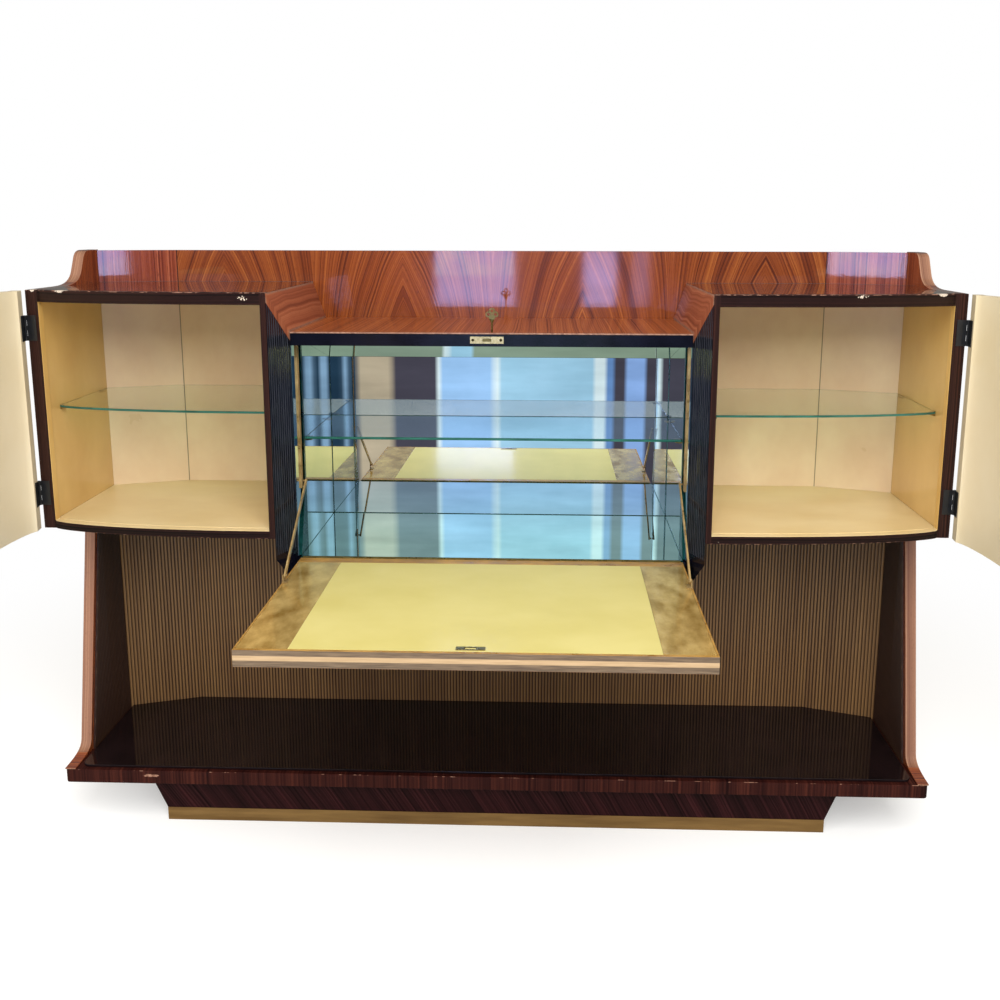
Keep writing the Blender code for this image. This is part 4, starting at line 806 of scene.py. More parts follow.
class Edges:
    """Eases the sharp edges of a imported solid, as sanding and polish do on the real one."""

    SAME_POINT = 0.02 * MM
    SAME_PLANE = math.radians(0.4)
    SHARP = math.radians(35)

    def __init__(self) -> None:
        """Start without any node group."""
        self.groups: dict[float, bpy.types.NodeTree] = {}

    def group(self, crease: float) -> bpy.types.NodeTree:
        """Return the node group that joins faces and smooths curves, made once for each crease angle.

        Args:
            crease: Angle in degrees from which an edge stays sharp.

        Returns:
            The node group.
        """
        if crease in self.groups:
            return self.groups[crease]
        group = bpy.data.node_groups.new(f"joined_faces_{crease:g}", "GeometryNodeTree")
        for way in ("INPUT", "OUTPUT"):
            group.interface.new_socket("Geometry", in_out=way, socket_type="NodeSocketGeometry")
        wires = Wiring(group)
        plain = wires.result("GeometryNodeRemoveAttribute", {"Geometry": wires.result("NodeGroupInput"),
                                                             "Name": "custom_normal"})
        merged = wires.result("GeometryNodeMergeByDistance", {"Geometry": plain,
                                                              "Distance": self.SAME_POINT})
        smooth = wires.result("GeometryNodeSetShadeSmooth", {"Geometry": merged, "domain": "FACE",
                                                             "Shade Smooth": True})
        sharp = wires.result("FunctionNodeCompare", {"operation": "GREATER_THAN", 1: math.radians(crease),
                                                     0: wires.result("GeometryNodeInputMeshEdgeAngle")})
        creased = wires.result("GeometryNodeSetShadeSmooth", {"Geometry": smooth, "domain": "EDGE",
                                                              "Selection": sharp, "Shade Smooth": False})
        add_node(group, "NodeGroupOutput", {0: creased})
        self.groups[crease] = group
        return group

    def ease(self, piece: bpy.types.Object, radius_mm: float, crease: float) -> None:
        """Smooth a piece's curves and round its edges.

        Args:
            piece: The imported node.
            radius_mm: Width of the rounding, or 0 for none.
            crease: Angle in degrees from which an edge stays sharp.
        """
        piece.modifiers.new("joined_faces", "NODES").node_group = self.group(crease)
        if not radius_mm:
            return
        flat = piece.modifiers.new("flat_faces", "DECIMATE")
        flat.decimate_type = "DISSOLVE"
        flat.angle_limit = self.SAME_PLANE
        bevel = piece.modifiers.new("eased_edges", "BEVEL")
        bevel.width = radius_mm * MM
        bevel.segments = 2
        bevel.limit_method = "ANGLE"
        bevel.angle_limit = self.SHARP
        bevel.harden_normals = True


def prism(near: list[Point], far: list[Point]) -> bmesh.types.BMesh:
    """Close two matching outlines into a solid.

    Args:
        near: Corners of the one outline.
        far: The same corners on the other.

    Returns:
        The solid's mesh.
    """
    form = bmesh.new()
    rings = [[form.verts.new(corner) for corner in ring] for ring in (near, far)]
    for ring in rings:
        form.faces.new(ring)
    for index, start in enumerate(rings[0]):
        after = (index + 1) % len(near)
        form.faces.new((start, rings[0][after], rings[1][after], rings[1][index]))
    return form


def screw(radius: float, place: Matrix) -> bmesh.types.BMesh:
    """Turn a slotted screw head whose dome points along its own +Z.

    Args:
        radius: Radius of the head.
        place: Where the head goes.

    Returns:
        The head's mesh.
    """
    dome_shares = ((1.0, 0.0), (0.98, 0.14), (0.8, 0.27), (0.45, 0.36), (0.0, 0.40))
    slot_half_share, slot_depth_share, slot_reach_share = 0.17, 0.22, 0.9
    sides = 20
    form = bmesh.new()
    rings = []
    for reach, height in dome_shares[:-1]:
        ring = []
        for angle in (math.tau * index / sides for index in range(sides)):
            slotted = abs(math.sin(angle)) * reach < slot_half_share and reach < slot_reach_share
            rise = height - (slot_depth_share if slotted else 0.0)
            ring.append(form.verts.new((radius * reach * math.cos(angle), radius * reach * math.sin(angle),
                                        radius * rise)))
        rings.append(ring)
    centre = form.verts.new((0, 0, radius * (dome_shares[-1][1] - slot_depth_share)))
    for lower, upper in zip(rings, rings[1:]):
        for index in range(sides):
            after = (index + 1) % sides
            form.faces.new((lower[index], lower[after], upper[after], upper[index]))
    for index in range(sides):
        form.faces.new((rings[-1][index], rings[-1][(index + 1) % sides], centre))
    form.faces.new(list(reversed(rings[0])))
    form.transform(place)
    return form


@dataclass
class SubAssembly(ABC):
    """A part of the sideboard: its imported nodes, and the fittings that this script adds."""

    nodes: dict[str, bpy.types.Object]
    sizes: Sizes
    shop: Shop
    edges: Edges

    @abstractmethod
    def build(self) -> None:
        """Dress the nodes and add the fittings."""

    def wear(self, node: str, finish: Finish, radius_mm: float = 0.8, crease: float = 35.0) -> None:
        """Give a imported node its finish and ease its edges.

        Args:
            node: The node's name.
            finish: The finish that it wears.
            radius_mm: Width of its eased edges.
            crease: Angle in degrees from which an edge stays sharp.
        """
        piece = self.nodes[node]
        for slot in piece.material_slots:
            slot.material = finish.material()
        self.edges.ease(piece, radius_mm, crease)
        LOG.info("%s wears %s", node, finish.name)

    def wear_pair(self, stem: str, finish: Finish, radius_mm: float = 0.8, crease: float = 35.0) -> None:
        """Dress the left and the right node of a pair; the arguments are those of wear."""
        for word in SIDE_WORDS.values():
            self.wear(f"{stem}_{word}", finish, radius_mm, crease)

    def fitting(self, name: str, form: bmesh.types.BMesh, finish: Finish, slot: str) -> None:
        """Make a small fitting from a mesh and let it ride on the carcass.

        Args:
            name: The fitting's name.
            form: Its mesh, in place. It is freed here.
            finish: The finish that it wears.
            slot: The record's material slot that it belongs to. It is not used.
        """
        bmesh.ops.recalc_face_normals(form, faces=form.faces)
        mesh = bpy.data.meshes.new(name)
        form.to_mesh(mesh)
        form.free()
        mesh.materials.append(finish.material())
        mesh.shade_smooth()
        mesh.set_sharp_from_angle(angle=Edges.SHARP)
        piece = add_object(name, mesh)
        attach(piece, "carcass")
        LOG.info("%s rides on the carcass", name)

    def shelf_clip(self, name: str, side: int, wall_x: float, y: float, shelf_z: float) -> None:
        """Seat one brass clip over a shelf peg: a tongue under the glass and a lug up the wall.

        Args:
            name: The clip's name.
            side: -1 where the wall is left of the shelf, 1 where it is right.
            wall_x: Where the wall is from left to right.
            y: Where the clip stands from front to back.
            shelf_z: Height of the shelf's underside.
        """
        tongue, half_width, depth, lug, thickness = 13 * MM, 4.5 * MM, 5.6 * MM, 2.5 * MM, 1.2 * MM
        play, rounding = 0.1 * MM, 0.35 * MM
        profile = [(0.0, -depth), (tongue, -depth + 2 * thickness), (tongue, 0.0), (thickness, 0.0),
                   (thickness, lug), (0.0, lug)]
        near, far = ([(wall_x - side * reach, y + across, shelf_z - play + rise) for reach, rise in profile]
                     for across in (-half_width, half_width))
        form = prism(near, far)
        bmesh.ops.bevel(form, geom=form.edges[:], offset=rounding, segments=2, affect="EDGES")
        self.fitting(name, form, self.shop.brass, "brass")


@dataclass
class Base(SubAssembly):
    """Kick strip, plinth, slab and its black glass."""

    rub: float = 1.1 * MM
    chip_centre: tuple[float, float] = (-0.797, 0.1495)
    chip_radius: float = 6 * MM

    def build(self) -> None:
        """Dress the base."""
        sizes, shop = self.sizes, self.shop
        worn = Worn(Both((Between(Axis.Z, sizes.slab_top - self.rub, sizes.slab_top + self.rub),
                          Between(Axis.Y, -FAR, sizes.front + self.rub))), 14.0, 0.2)
        x, z = self.chip_centre
        chip = Patch((x, sizes.front, z), self.chip_radius, (0.32, 0.1, 1.7))
        slab = Overlaid("dark_rosewood_base_slab", shop.slab_rosewood,
                        ((worn, shop.rubbed_and_edge_highlight), (chip, shop.rubbed_and_edge_highlight)))
        self.wear("kick_strip", shop.kick_brass, 0.0)
        self.wear("plinth", shop.plinth_rosewood)
        self.wear("base_slab", slab, 1.5)
        self.wear("niche_glass_top", shop.black_glass, 1.0)


@dataclass
class Shell(SubAssembly):
    """Side boards, niche back and lining, gallery and cabinet backs."""

    seam_half: float = 1.1 * MM

    def build(self) -> None:
        """Dress the shell."""
        sizes, shop = self.sizes, self.shop
        inside = Both((Facing(Axis.X, -1, mirrored=True),
                       Between(Axis.Z, sizes.cabinet_floor, sizes.cabinet_ceiling)))
        ahead, behind = Facing(Axis.Y, -1, 0.3), Facing(Axis.Y, 1)
        seam = Between(Axis.X, sizes.cant_x - self.seam_half, sizes.cant_x + self.seam_half, True)
        beyond = Between(Axis.X, sizes.cant_x, FAR, True)
        # Inside the cabinets the boards take the golden side-wall tone, which is partly painted shade.
        board = Overlaid("rosewood_side_board", shop.end_rosewood,
                         ((inside, shop.golden_with_shade), (ahead, shop.board_edge)))
        gallery = Overlaid("rosewood_gallery_back", shop.gallery_rosewood,
                           ((beyond, shop.cant_rosewood), (seam, shop.seam), (behind, shop.raw_ply)))
        cabinet_back = Overlaid("beige_cabinet_back", shop.back_beige,
                                ((seam, shop.thin_line), (behind, shop.raw_ply)))
        self.wear_pair("side_board", board, 1.2)
        self.wear("niche_lining", shop.reeded, 0.0, 60.0)
        self.wear("niche_back", shop.raw_ply, 0.0, 10.0)
        self.wear("gallery_back", gallery, 0.0, 10.0)
        self.wear_pair("cabinet_back", cabinet_back, 0.0, 10.0)


# Knocked-off polish on the face frames: x, height, radius in mm, and how much narrower than wide.
CHIPS = ((-0.5118, 1.2665, 6.5, 0.45), (-0.984, 1.278, 4.0, 0.8), (-0.911, 1.2775, 4.0, 0.3),
         (-0.4957, 0.7515, 5.0, 0.9), (-0.716, 0.7505, 4.5, 0.3), (0.4904, 0.7535, 5.5, 0.7),
         (0.5129, 0.751, 4.5, 0.6), (0.502, 1.276, 4.0, 0.4), (0.765, 1.2745, 5.0, 0.25),
         (0.941, 1.277, 4.0, 0.35))


@dataclass
class Cabinets(SubAssembly):
    """The two bow-fronted cabinets with their glass shelves and shelf clips."""

    inner_stile: float = 12.7 * MM
    outer_stile: float = 27 * MM
    return_depth: float = 60 * MM
    board_edge: float = 5 * MM
    lit_sill: float = 5 * MM
    rub: float = 1.1 * MM
    clip_front: float = 8 * MM
    clip_back: float = 37 * MM
    play: float = 1.5 * MM
    frame_setback: float = 2.5 * MM
    shelf_setback: float = 62 * MM

    def build(self) -> None:
        """Dress both cabinets and seat their shelves on clips."""
        shop = self.shop
        top = Overlaid("rosewood_cabinet_top", shop.polished_top, ((Facing(Axis.Z, -1), shop.blond),))
        self.wear_pair("cabinet_floor", shop.blond, 0.5)
        self.wear_pair("cabinet_top", top, 0.0)
        # Golden side walls: partly painted shade.
        self.wear_pair("cabinet_side", shop.golden_with_shade, 0.4)
        self.wear_pair("face_frame", self.frame_finish(), 1.2)
        self.wear_pair("cabinet_shelf", shop.clear_glass, 0.6)
        for side in SIDE_WORDS:
            self.add_clips(side)

    def frame_finish(self) -> Finish:
        """Return the face frames' finish.

        Returns:
            Dark rails and stiles, golden returns that are partly painted shade, a blond sill that is painted
            light, rubbed edges and chips.
        """
        sizes, shop = self.sizes, self.shop
        stiles = Between(Axis.X, 0.0, sizes.cabinet_inner_x + self.inner_stile, True)
        outer_stiles = Between(Axis.X, sizes.half_width - self.outer_stile, FAR, True)
        # The frame's returns take the same golden, which is partly painted shade.
        returns = Both((Facing(Axis.X, -1, mirrored=True),
                        Between(Axis.X, sizes.half_width - self.return_depth,
                                sizes.half_width - self.board_edge, True)))
        # The bottom rail's top face is painted blond: painted light at the front of the opening.
        lit_sill = Both((Facing(Axis.Z, 1),
                     Between(Axis.Z, sizes.cabinet_bottom, sizes.cabinet_floor + self.lit_sill)))
        head, foot = (Between(Axis.Z, edge - self.rub, edge + self.rub)
                      for edge in (sizes.cabinet_top, sizes.cabinet_bottom))
        chips = tuple((Patch((x, sizes.front, z), radius * MM, (wide, 0.1, 1.0)), shop.chipped)
                      for x, z, radius, wide in CHIPS)
        return Overlaid("dark_rosewood_frame", shop.dark_rails,
                        ((stiles, shop.dark_stiles), (outer_stiles, shop.dark_stiles),
                         (returns, shop.golden_with_shade), (lit_sill, shop.blond),
                         (Worn(head, 11.0, 0.4), shop.rubbed_and_edge_highlight), (Worn(foot, 8.0, 0.35), shop.rubbed_and_edge_highlight)) + chips)

    def add_clips(self, side: int) -> None:
        """Seat one cabinet's shelf on four clips.

        Args:
            side: -1 for the left cabinet, 1 for the right.
        """
        sizes = self.sizes
        low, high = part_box("cabinet_shelf_right")
        shallow = sizes.front + self.frame_setback + self.shelf_setback + self.clip_front
        drop = (high.x - sizes.cant_x) * math.tan(sizes.cant_angle)
        places = {"outer_front": (high.x + self.play, side, shallow),
                  "outer_back": (high.x + self.play, side, high.y - drop - self.clip_back),
                  "inner_front": (low.x - self.play, -side, low.y + self.clip_front),
                  "inner_back": (low.x - self.play, -side, high.y - self.clip_back)}
        for name, (wall, way, y) in places.items():
            self.shelf_clip(f"shelf_clip_{SIDE_WORDS[side]}_{name}", way, side * wall, y, low.z)


@dataclass
class Bar(SubAssembly):
    """The mirrored bar: cheeks, sloped panels, top, rail, floor, mirrors, shelf, tracks and lock."""

    edge_highlight_width: float = 1.3 * MM
    corner_line: float = 1.0 * MM
    foot_line: float = 0.9 * MM
    back_line: float = 6 * MM
    edge_with_painted_reflection: float = 12 * MM
    front_line: float = 3 * MM
    rub_ahead: float = 1 * MM
    rub_behind: float = 1.5 * MM
    fit: float = 0.4 * MM
    foot_setback: float = 9 * MM
    strip_setback: float = 3 * MM
    strip_thickness: float = 1.2 * MM
    clip_front: float = 15 * MM
    clip_back: float = 33 * MM
    screw_inset: float = 6 * MM
    screw_radius: float = 3 * MM
    screw_turn: float = 0.6

    def build(self) -> None:
        """Dress the bar, then fit its clips, screws and mirror strips."""
        self.dress_wood()
        self.dress_mirrors()
        for side in SIDE_WORDS:
            self.add_mirror_strips(side)
        self.add_shelf_clips()
        self.add_lock_screws()

    def dress_wood(self) -> None:
        """Dress the boards, the lacquered rail and cheeks, and the brass."""
        front, shop = self.sizes.bar_front, self.shop
        front_line = Between(Axis.Y, front - self.rub_ahead, front + self.rub_behind)
        low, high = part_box("slope_panel_right")
        # Pale lines along both long edges of the slope panels: painted edge highlights.
        lit_inner_edge = Worn(Between(Axis.X, low.x, low.x + self.edge_highlight_width, True), 9.0, 0.9)
        lit_outer_edge = Worn(Between(Axis.X, high.x - self.edge_highlight_width, high.x, True), 9.0, 0.8)
        slope = Overlaid("rosewood_slope_panel", shop.slope_rosewood,
                         ((lit_inner_edge, shop.rubbed_and_edge_highlight), (lit_outer_edge, shop.rubbed_and_edge_highlight)))
        # Faces that look forward, the reeds' crowns among them, get a greyer tone: a painted highlight.
        cheek = Overlaid("reeded_black_cheek", shop.black_lacquer,
                         ((Facing(Axis.Y, -1, 0.6), shop.highlit_black_reed),))
        top = Overlaid("rosewood_bar_top", shop.top_rosewood, ((front_line, shop.rubbed_and_edge_highlight),))
        self.wear("bar_top", top, 0.6)
        self.wear_pair("bar_cheek", cheek, 0.0)
        self.wear_pair("slope_panel", slope)
        self.wear_pair("stay_track", shop.strip_brass, 0.0)
        self.wear("lock_rail", shop.black_lacquer)
        self.wear("bar_floor", shop.black_lacquer)
        self.wear("lock_case", shop.pale_brass, 0.2)
        self.wear("lock_bolt", shop.brass, 0.2)
        self.wear("key", shop.brass, 0.3)
        self.wear("flap_hinge_fixed", shop.brass, 0.0)

    def dress_mirrors(self) -> None:
        """Dress the mirrors, with dark or pale lines where their edges show, and the glass shelf."""
        shop = self.shop
        side_low, side_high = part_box("bar_side_mirror_right")
        low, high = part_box("bar_floor_mirror")
        corner = Between(Axis.X, side_low.x - self.corner_line, side_high.x, True)
        foot = Between(Axis.Z, 0.0, self.sizes.bar_floor + self.foot_line)
        behind = Between(Axis.Y, high.y - self.back_line, high.y + self.back_line)
        beside = Between(Axis.X, high.x - self.corner_line, FAR, True)
        edge = Between(Axis.Y, low.y - self.front_line, low.y + self.front_line)
        back = Overlaid("silvered_back_mirror", shop.leaning_silver,
                        ((corner, shop.mid_edge), (foot, shop.dark_edge)))
        floor = Overlaid("silvered_floor_mirror", shop.silver,
                         ((behind, shop.pale_edge), (beside, shop.mid_edge), (edge, shop.dark_edge),
                          (Facing(Axis.Y, -1), shop.dark_edge)))
        self.wear_pair("bar_side_mirror", self.side_glass(), 0.0)
        self.wear("bar_floor_mirror", floor, 0.0)
        self.wear("bar_back_mirror", back, 0.0)
        self.wear("bar_ceiling_mirror", shop.silver, 0.0)
        self.wear("bar_shelf", shop.clear_glass, 0.6)

    def side_glass(self) -> Finish:
        """Return the side mirrors' silver, with a dark green front band: the cut edge, and on the silver
        behind it a painted reflection of that edge.
        """
        low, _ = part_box("bar_side_mirror_right")
        # Dark green along the front: the cut edge, then a painted reflection of that edge on the silver.
        ahead = Between(Axis.Y, -FAR, low.y + self.edge_with_painted_reflection)
        return Overlaid("silvered_side_mirror", self.shop.silver, ((ahead, self.shop.dark_edge),))

    def add_mirror_strips(self, side: int) -> None:
        """Fit the side wall's mirror ahead of the stay track, and its foot where the wall is whole.

        Args:
            side: -1 for the left wall, 1 for the right.
        """
        word = SIDE_WORDS[side]
        glass_low, glass_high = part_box("bar_side_mirror_right")
        track_low, track_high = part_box("stay_track_right")
        floor = self.sizes.bar_floor + self.fit
        front = self.sizes.bar_front + self.strip_setback
        foot = [(glass_low.y - self.fit, floor), (glass_low.y - self.fit, track_low.z),
                (self.sizes.bar_front + self.foot_setback, floor)]
        ahead = [(front, floor), (track_low.y - self.fit, floor), (track_low.y - self.fit, track_high.z),
                 (front, track_high.z)]
        self.pane(f"bar_side_mirror_foot_{word}", foot, side, glass_low.x, glass_high.x - glass_low.x,
                  self.side_glass())
        self.pane(f"bar_strip_mirror_{word}", ahead, side, glass_high.x - self.strip_thickness,
                  self.strip_thickness, self.shop.silver)

    def pane(self, name: str, outline: list[tuple[float, float]], side: int, near_x: float,
             thickness: float, finish: Finish) -> None:
        """Cut one pane that lies on a side wall.

        Args:
            name: The pane's name.
            outline: Its corners as (y, z).
            side: -1 for the left wall, 1 for the right.
            near_x: Distance of its mirror face from the middle.
            thickness: How thick it is.
            finish: The finish that it wears.
        """
        near, far = ([(side * x, y, z) for y, z in outline] for x in (near_x, near_x + thickness))
        self.fitting(name, prism(near, far), finish, "mirror")

    def add_shelf_clips(self) -> None:
        """Seat the bar's glass shelf on brass clips."""
        low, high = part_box("bar_shelf")
        for side, word in SIDE_WORDS.items():
            for name, y in (("front", low.y + self.clip_front), ("back", high.y - self.clip_back)):
                self.shelf_clip(f"bar_shelf_clip_{word}_{name}", side, side * high.x, y, low.z)

    def add_lock_screws(self) -> None:
        """Screw the lock's face plate on."""
        low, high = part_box("lock_case")
        forward = Vector((0, -1, 0)).to_track_quat("Z", "Y").to_matrix().to_4x4()
        turn = Matrix.Rotation(self.screw_turn, 4, "Z")
        for name, x in (("left", low.x + self.screw_inset), ("right", high.x - self.screw_inset)):
            place = Matrix.Translation((x, low.y, (low.z + high.z) / 2)) @ forward @ turn
            head = screw(self.screw_radius, place)
            self.fitting(f"lock_screw_{name}", head, self.shop.dark_screw, "brass")


@dataclass
class Flap(SubAssembly):
    """The drop flap with its yellow panel, gold mirrors, strike plate, hinge leaf and stays."""

    cream_head: float = 11 * MM
    cream_foot: float = 20 * MM

    def build(self) -> None:
        """Dress the flap and its stays."""
        shop = self.shop
        _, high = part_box("flap_board")
        cream = Between(Axis.Z, high.z - self.cream_foot, high.z - self.cream_head)
        board = Overlaid("banded_flap_board", shop.grey_band,
                         ((cream, shop.cream_band), (Facing(Axis.Z, 1), shop.gold_band),
                          (Facing(Axis.Z, -1), shop.top_rosewood)))
        self.wear("flap_board", board)
        self.wear("flap_panel", shop.laminate, 0.3)
        self.wear_pair("flap_mirror", shop.gold_mirror, 0.3)
        self.wear_pair("stay_bracket", shop.strip_brass, 0.2)
        self.wear_pair("stay_arm", shop.strip_brass, 0.3)
        self.wear("strike_plate", shop.brass, 0.2)
        self.wear("flap_hinge_moving", shop.brass, 0.0)


@dataclass
class Doors(SubAssembly):
    """The two bow-fronted doors and their butt hinges."""

    def build(self) -> None:
        """Dress both doors and their hinges."""
        outside = Facing(Axis.X, 1, mirrored=True)
        door = Overlaid("two_faced_door", self.shop.door_cream, ((outside, self.shop.end_rosewood),))
        self.wear_pair("door", door, 1.2)
        for word in SIDE_WORDS.values():
            for level in ("lower", "upper"):
                for leaf in ("door_hinge", "frame_hinge"):
                    self.wear(f"{leaf}_{word}_{level}", self.shop.steel, 0.2)


@dataclass(frozen=True)
class Storey:
    """One level of the reflected room, as columns of colour from left to right.

    A column starts at a sideways slope, x over the distance ahead. The storey starts at an upward
    slope, its foot, and fades in over the soft stretch on both sides of it.
    """

    foot: float
    columns: Columns
    side: Columns = ()
    strength: Point = (1.0, 1.0, 1.0)
    haze: float = 0.0
    soft: float = 0.004
    edge: float = 0.0012
    haze_tone: str = "#8e9fae"

    def paint(self, wires: Wiring, columns: Columns, spread: Socket) -> Socket:
        """Return the colour of columns at a slope from 0 to 1, with narrow steps between them."""
        stops = [(0.0, columns[0][1])]
        for (_, before), (start, colour) in zip(columns, columns[1:]):
            stops += [(start + 0.5 - self.edge, before), (start + 0.5 + self.edge, colour)]
        return wires.ramp(spread, stops)

    def colour(self, wires: Wiring, sideways: Socket, spread: Socket) -> Socket:
        """Paint the storey's columns, with the side columns beyond the first of them.

        Args:
            wires: The wiring of the world.
            sideways: The sideways slope.
            spread: The same slope, from 0 to 1.

        Returns:
            The storey's colour at each sideways slope.
        """
        shown = self.paint(wires, self.columns, spread)
        if self.side:
            beyond = wires.calc("GREATER_THAN", sideways, self.side[0][0])
            shown = wires.blend(beyond, shown, self.paint(wires, self.side, spread))
        if self.haze:
            shown = wires.blend(self.haze, shown, self.haze_tone)
        return wires.vector("MULTIPLY", shown, self.strength)


# Paints of the reflected room.
DIM = "#262524"
STONE = "#93a392"
PIER = "#c1af98"
DOOR = "#4b4755"
NEAR_PANE = "#a6ceff"
FAR_PANE = "#a9d4f2"
GLARE = "#e8f6ff"
SHUTTER = "#6f95d0"
POST = "#4a4653"
SKY = "#93b4f0"
NAVY = "#263d54"
FOLD = "#90aed2"
BEHIND = "#7a7773"

# What stands across from the sideboard, from left to right: sideways slope where each thing starts.
STREET = ((-0.5, NAVY), (-0.36, FOLD), (-0.31, NAVY), (-0.191, PIER), (-0.156, DOOR), (-0.111, GLARE),
          (-0.107, NEAR_PANE), (-0.055, GLARE), (-0.048, FAR_PANE), (0.045, GLARE), (0.056, SHUTTER),
          (0.064, POST), (0.076, SKY), (0.095, POST))
CURTAIN = ((0.106, NAVY), (0.200, FOLD), (0.206, NAVY), (0.220, FOLD), (0.228, NAVY), (0.235, FOLD),
           (0.243, NAVY))
ROOM = (
    # Pale stone floor with the glare of one window.
    Storey(-1.0, ((-0.5, STONE), (-0.111, GLARE), (-0.105, FAR_PANE), (-0.080, STONE))),
    # Street and doors behind glass.
    Storey(-0.34, STREET, CURTAIN),
    # The windows' heads, far brighter than the room: polish shows them as lavender panes.
    Storey(-0.077, ((-0.5, DIM), (-0.112, WHITE), (-0.035, DIM), (0.033, WHITE), (0.065, DIM),
                    (0.081, "#a0a0a0"), (0.097, DIM)), strength=(4.4, 5.0, 10.5)),
    # Upper room, which shelf and flap throw back; floor glass shows what is higher, and paler.
    Storey(-0.015, STREET, CURTAIN, (1.12, 1.2, 1.4), haze=0.42, soft=0.02),
    Storey(0.245, STREET, CURTAIN, (1.15, 1.3, 1.42), haze=0.55, soft=0.02, haze_tone="#95a6b0"),
    Storey(0.312, STREET, CURTAIN, (1.4, 1.65, 1.62), haze=0.5, soft=0.03, haze_tone="#93a6a8"),
    Storey(0.62, ((-0.5, "#9aa3ab"), (0.0, "#a9b4bb")), soft=0.15),
)


@dataclass
class Studio:
    """Floor, light, reflected room and camera."""

    eye: Vector
    yaw: float = -0.0316
    pitch: float = 0.1836
    roll: float = 0.0022
    lens_mm: float = 36.57
    shift_x: float = -0.01695
    shift_y: float = -0.0851
    ambient: float = 0.62
    floor_reach: float = 9.0
    floor_glow: float = 0.3
    floor_fade: tuple[float, float] = (1.1, 2.6)
    pane_x: tuple[float, float] = (-0.547, -0.085)
    pane_y: float = -3.3
    pane_z: tuple[float, float] = (1.13, 1.36)
    pane_strength: float = 9.5
    # Least distance ahead that a slope is measured over.
    least_ahead: float = 0.02

    def build(self) -> None:
        """Set up the whole studio."""
        bpy.context.scene.view_settings.view_transform = "Standard"
        self.camera()
        self.world()
        self.floor()
        self.bright_pane()
        # One broad soft lamp in front and above, and a weaker one to its left.
        self.lamp("front_softbox", Vector((0.5, -3.3, 3.2)), 2.6, 205.0)
        self.lamp("left_softbox", Vector((-3.2, -2.6, 1.9)), 2.0, 60.0)

    def camera(self) -> None:
        """Place the camera where the photograph was taken."""
        data = bpy.data.cameras.new("camera")
        data.lens = self.lens_mm
        data.sensor_width = 36.0
        data.shift_x = self.shift_x
        data.shift_y = self.shift_y
        data.clip_end = 100.0
        level = math.cos(self.pitch)
        forward = Vector((math.sin(self.yaw) * level, math.cos(self.yaw) * level, -math.sin(self.pitch)))
        right = forward.cross(Vector((0, 0, 1))).normalized()
        up = right.cross(forward)
        turned_right = right * math.cos(self.roll) + up * math.sin(self.roll)
        turned_up = up * math.cos(self.roll) - right * math.sin(self.roll)
        basis = Matrix((turned_right, turned_up, -forward)).transposed().to_4x4()
        camera = add_object("camera", data)
        camera.matrix_world = Matrix.Translation(self.eye) @ basis
        bpy.context.scene.camera = camera
        LOG.info("camera stands at %s", tuple(round(value, 3) for value in self.eye))

    def world(self) -> None:
        """Make the white backdrop, the even light, and the room that polish and mirrors show."""
        world = bpy.data.worlds.new("studio")
        bpy.context.scene.world = world
        world.use_nodes = True
        # The room differs for polish and for paint, so no lamp may be made of it as a whole.
        world.cycles.sampling_method = "NONE"
        world.node_tree.nodes.clear()
        wires = Wiring(world.node_tree)
        rays = wires.rays()
        even, shown, white = (wires.result("ShaderNodeBackground", {"Color": colour, "Strength": strength})
                              for colour, strength in (("#fffaf4", self.ambient), (self.room(wires), 1.0),
                                                       (WHITE, 1.0)))
        mirrored = wires.calc("MAXIMUM", rays["Is Glossy Ray"], rays["Is Transmission Ray"])
        full = wires.cover(rays["Is Camera Ray"], wires.cover(mirrored, even, shown), white)
        add_node(wires.tree, "ShaderNodeOutputWorld", {"Surface": full})

    def room(self, wires: Wiring) -> Socket:
        """Paint the room that stands across from the sideboard, one storey of columns above another.

        Args:
            wires: The wiring of the world.

        Returns:
            The room's colour in each direction.
        """
        heading_x, heading_y, heading_z = wires.parts(wires.place("Generated"))
        depth = wires.product(heading_y, -1.0)
        distance = wires.calc("MAXIMUM", depth, self.least_ahead)
        sideways = wires.calc("DIVIDE", heading_x, distance)
        upward = wires.calc("DIVIDE", heading_z, distance)
        spread = wires.rise(sideways, -0.5, 0.5)
        colour = ROOM[0].colour(wires, sideways, spread)
        for storey in ROOM[1:]:
            level = wires.rise(upward, storey.foot - storey.soft, storey.foot + storey.soft)
            colour = wires.blend(level, colour, storey.colour(wires, sideways, spread))
        # Old glass and hand-rubbed polish make the picture swell in level waves.
        slopes = wires.vector("MULTIPLY", wires.joined(sideways, upward), (7.0, 42.0, 1.0))
        swell = wires.rise(wires.noise(slopes, 1.0, 4.0), 0.3, 0.7, 0.82, 1.16)
        rippled = wires.result("ShaderNodeVectorMath", {"operation": "SCALE", 0: colour, "Scale": swell})
        return wires.blend(wires.rise(depth, -0.02, 0.05), BEHIND, rippled)

    def sheet(self, name: str, corners: list[Point], cuts: int, material: bpy.types.Material,
              hidden: tuple[str, ...]) -> None:
        """Put up a flat sheet that belongs to the studio.

        Args:
            name: Its name.
            corners: Its corners in turn.
            cuts: How often each side is cut.
            material: Its material.
            hidden: Kinds of rays that don't see it.
        """
        form = bmesh.new()
        form.faces.new([form.verts.new(corner) for corner in corners])
        bmesh.ops.subdivide_edges(form, edges=form.edges, cuts=cuts, use_grid_fill=True)
        mesh = bpy.data.meshes.new(name)
        form.to_mesh(mesh)
        form.free()
        mesh.materials.append(material)
        sheet = add_object(name, mesh)
        for kind in hidden:
            setattr(sheet, "visible_" + kind, False)

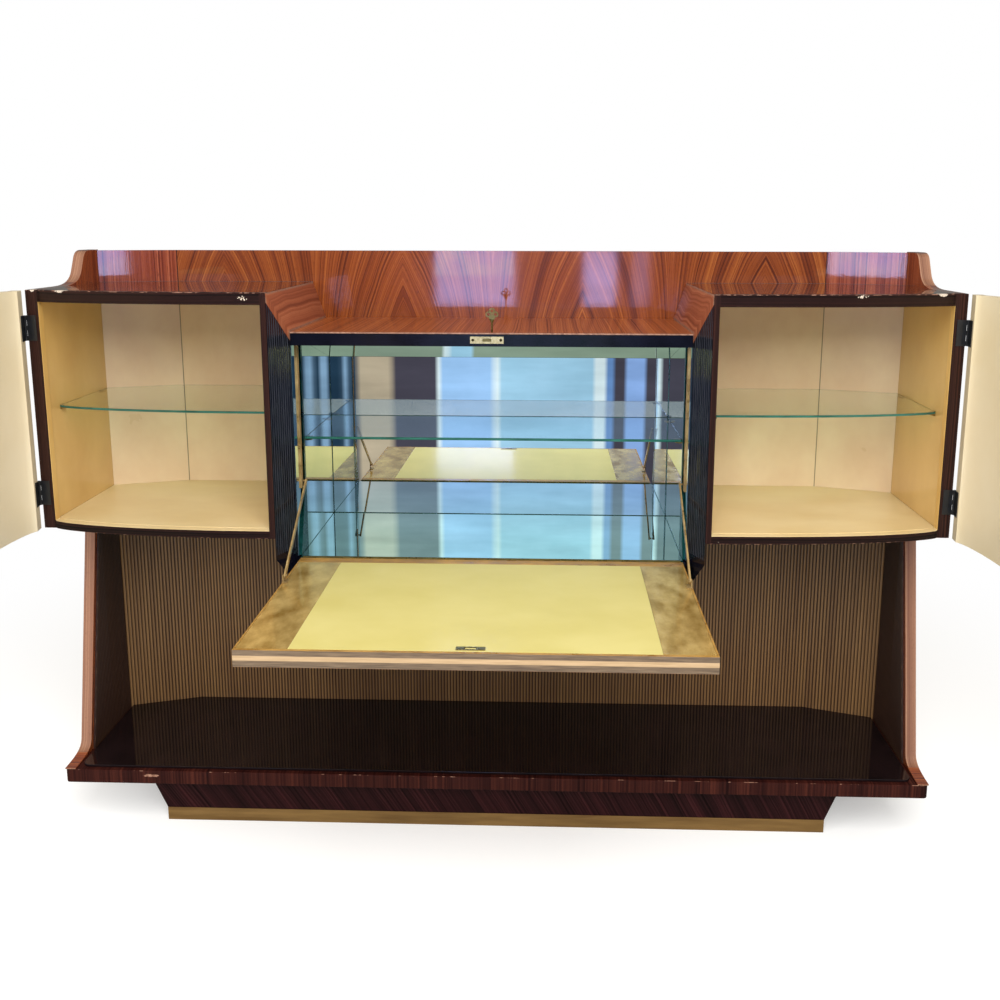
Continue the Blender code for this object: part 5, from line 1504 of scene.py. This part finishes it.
    def floor(self) -> None:
        """Lay the pale floor, which keeps the sideboard's shadow and shows white to the camera."""
        material, wires = new_material("pale_studio_floor")
        seen = wires.rays()["Is Camera Ray"]
        paint = wires.result("ShaderNodeBsdfDiffuse", {"Color": "#e2e2e0"})
        share = wires.product(seen, self.floor_glow)
        glow = wires.result("ShaderNodeEmission", {"Color": WHITE, "Strength": share})
        both = wires.result("ShaderNodeAddShader", {0: paint, 1: glow})
        # Away from the sideboard the paper runs out of the light into the white backdrop.
        near, far = self.floor_fade
        fade = wires.result("ShaderNodeMapRange", {"interpolation_type": "SMOOTHSTEP", 1: near, 2: far,
                                                   0: wires.vector("LENGTH", wires.place())})
        white = wires.result("ShaderNodeEmission", {"Color": WHITE, "Strength": 1.0})
        full = wires.cover(wires.product(fade, seen), both, white)
        add_node(wires.tree, "ShaderNodeOutputMaterial", {"Surface": full})
        reach = self.floor_reach
        corners = [(-reach, -reach, 0), (reach, -reach, 0), (reach, reach, 0), (-reach, reach, 0)]
        self.sheet("studio_floor", corners, 4, material, ("glossy",))

    def bright_pane(self) -> None:
        """Hang the head of the nearest window, which only polish shows: in the gallery and its cants."""
        material, wires = new_material("daylight_in_window")
        cloud = wires.noise(wires.place(), 9.0, 3.0)
        tint = wires.ramp(cloud, [(0.35, "#9fb0ff"), (0.6, "#c4d1ff")])
        glow = wires.result("ShaderNodeEmission", {"Strength": self.pane_strength, "Color": tint})
        add_node(wires.tree, "ShaderNodeOutputMaterial", {"Surface": glow})
        (left, right), (low, high) = self.pane_x, self.pane_z
        corners = [(x, self.pane_y, z) for x, z in ((left, low), (right, low), (right, high), (left, high))]
        self.sheet("bright_pane", corners, 3, material,
                   ("camera", "diffuse", "transmission", "volume_scatter", "shadow"))

    def lamp(self, name: str, place: Vector, size: float, watts: float) -> None:
        """Hang a square soft lamp that looks at the sideboard.

        Args:
            name: The lamp's name.
            place: Where it hangs.
            size: Length of its sides.
            watts: Its power.
        """
        data = bpy.data.lights.new(name, "AREA")
        data.shape = "SQUARE"
        data.size = size
        data.energy = watts
        lamp = add_object(name, data)
        aim = Vector((0.0, 0.0, 0.8)) - place
        lamp.matrix_world = Matrix.Translation(place) @ aim.to_track_quat("-Z", "Y").to_matrix().to_4x4()
        lamp.visible_glossy = False
        lamp.visible_transmission = False
        LOG.info("%s hangs at %s", name, tuple(round(value, 2) for value in place))


def main() -> None:
    """Load the frame, dress each sub-assembly and set the studio."""
    logging.basicConfig(level=logging.INFO, format="%(name)s: %(message)s")
    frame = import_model()
    sizes = Sizes.from_frame()
    shop = Shop(sizes)
    edges = Edges()
    for part in (Base, Shell, Cabinets, Bar, Flap, Doors):
        part(frame["nodes"], sizes, shop, edges).build()
    Studio(Vector((0.1258, -2.3468, 1.4148))).build()


if __name__ == "__main__":
    main()
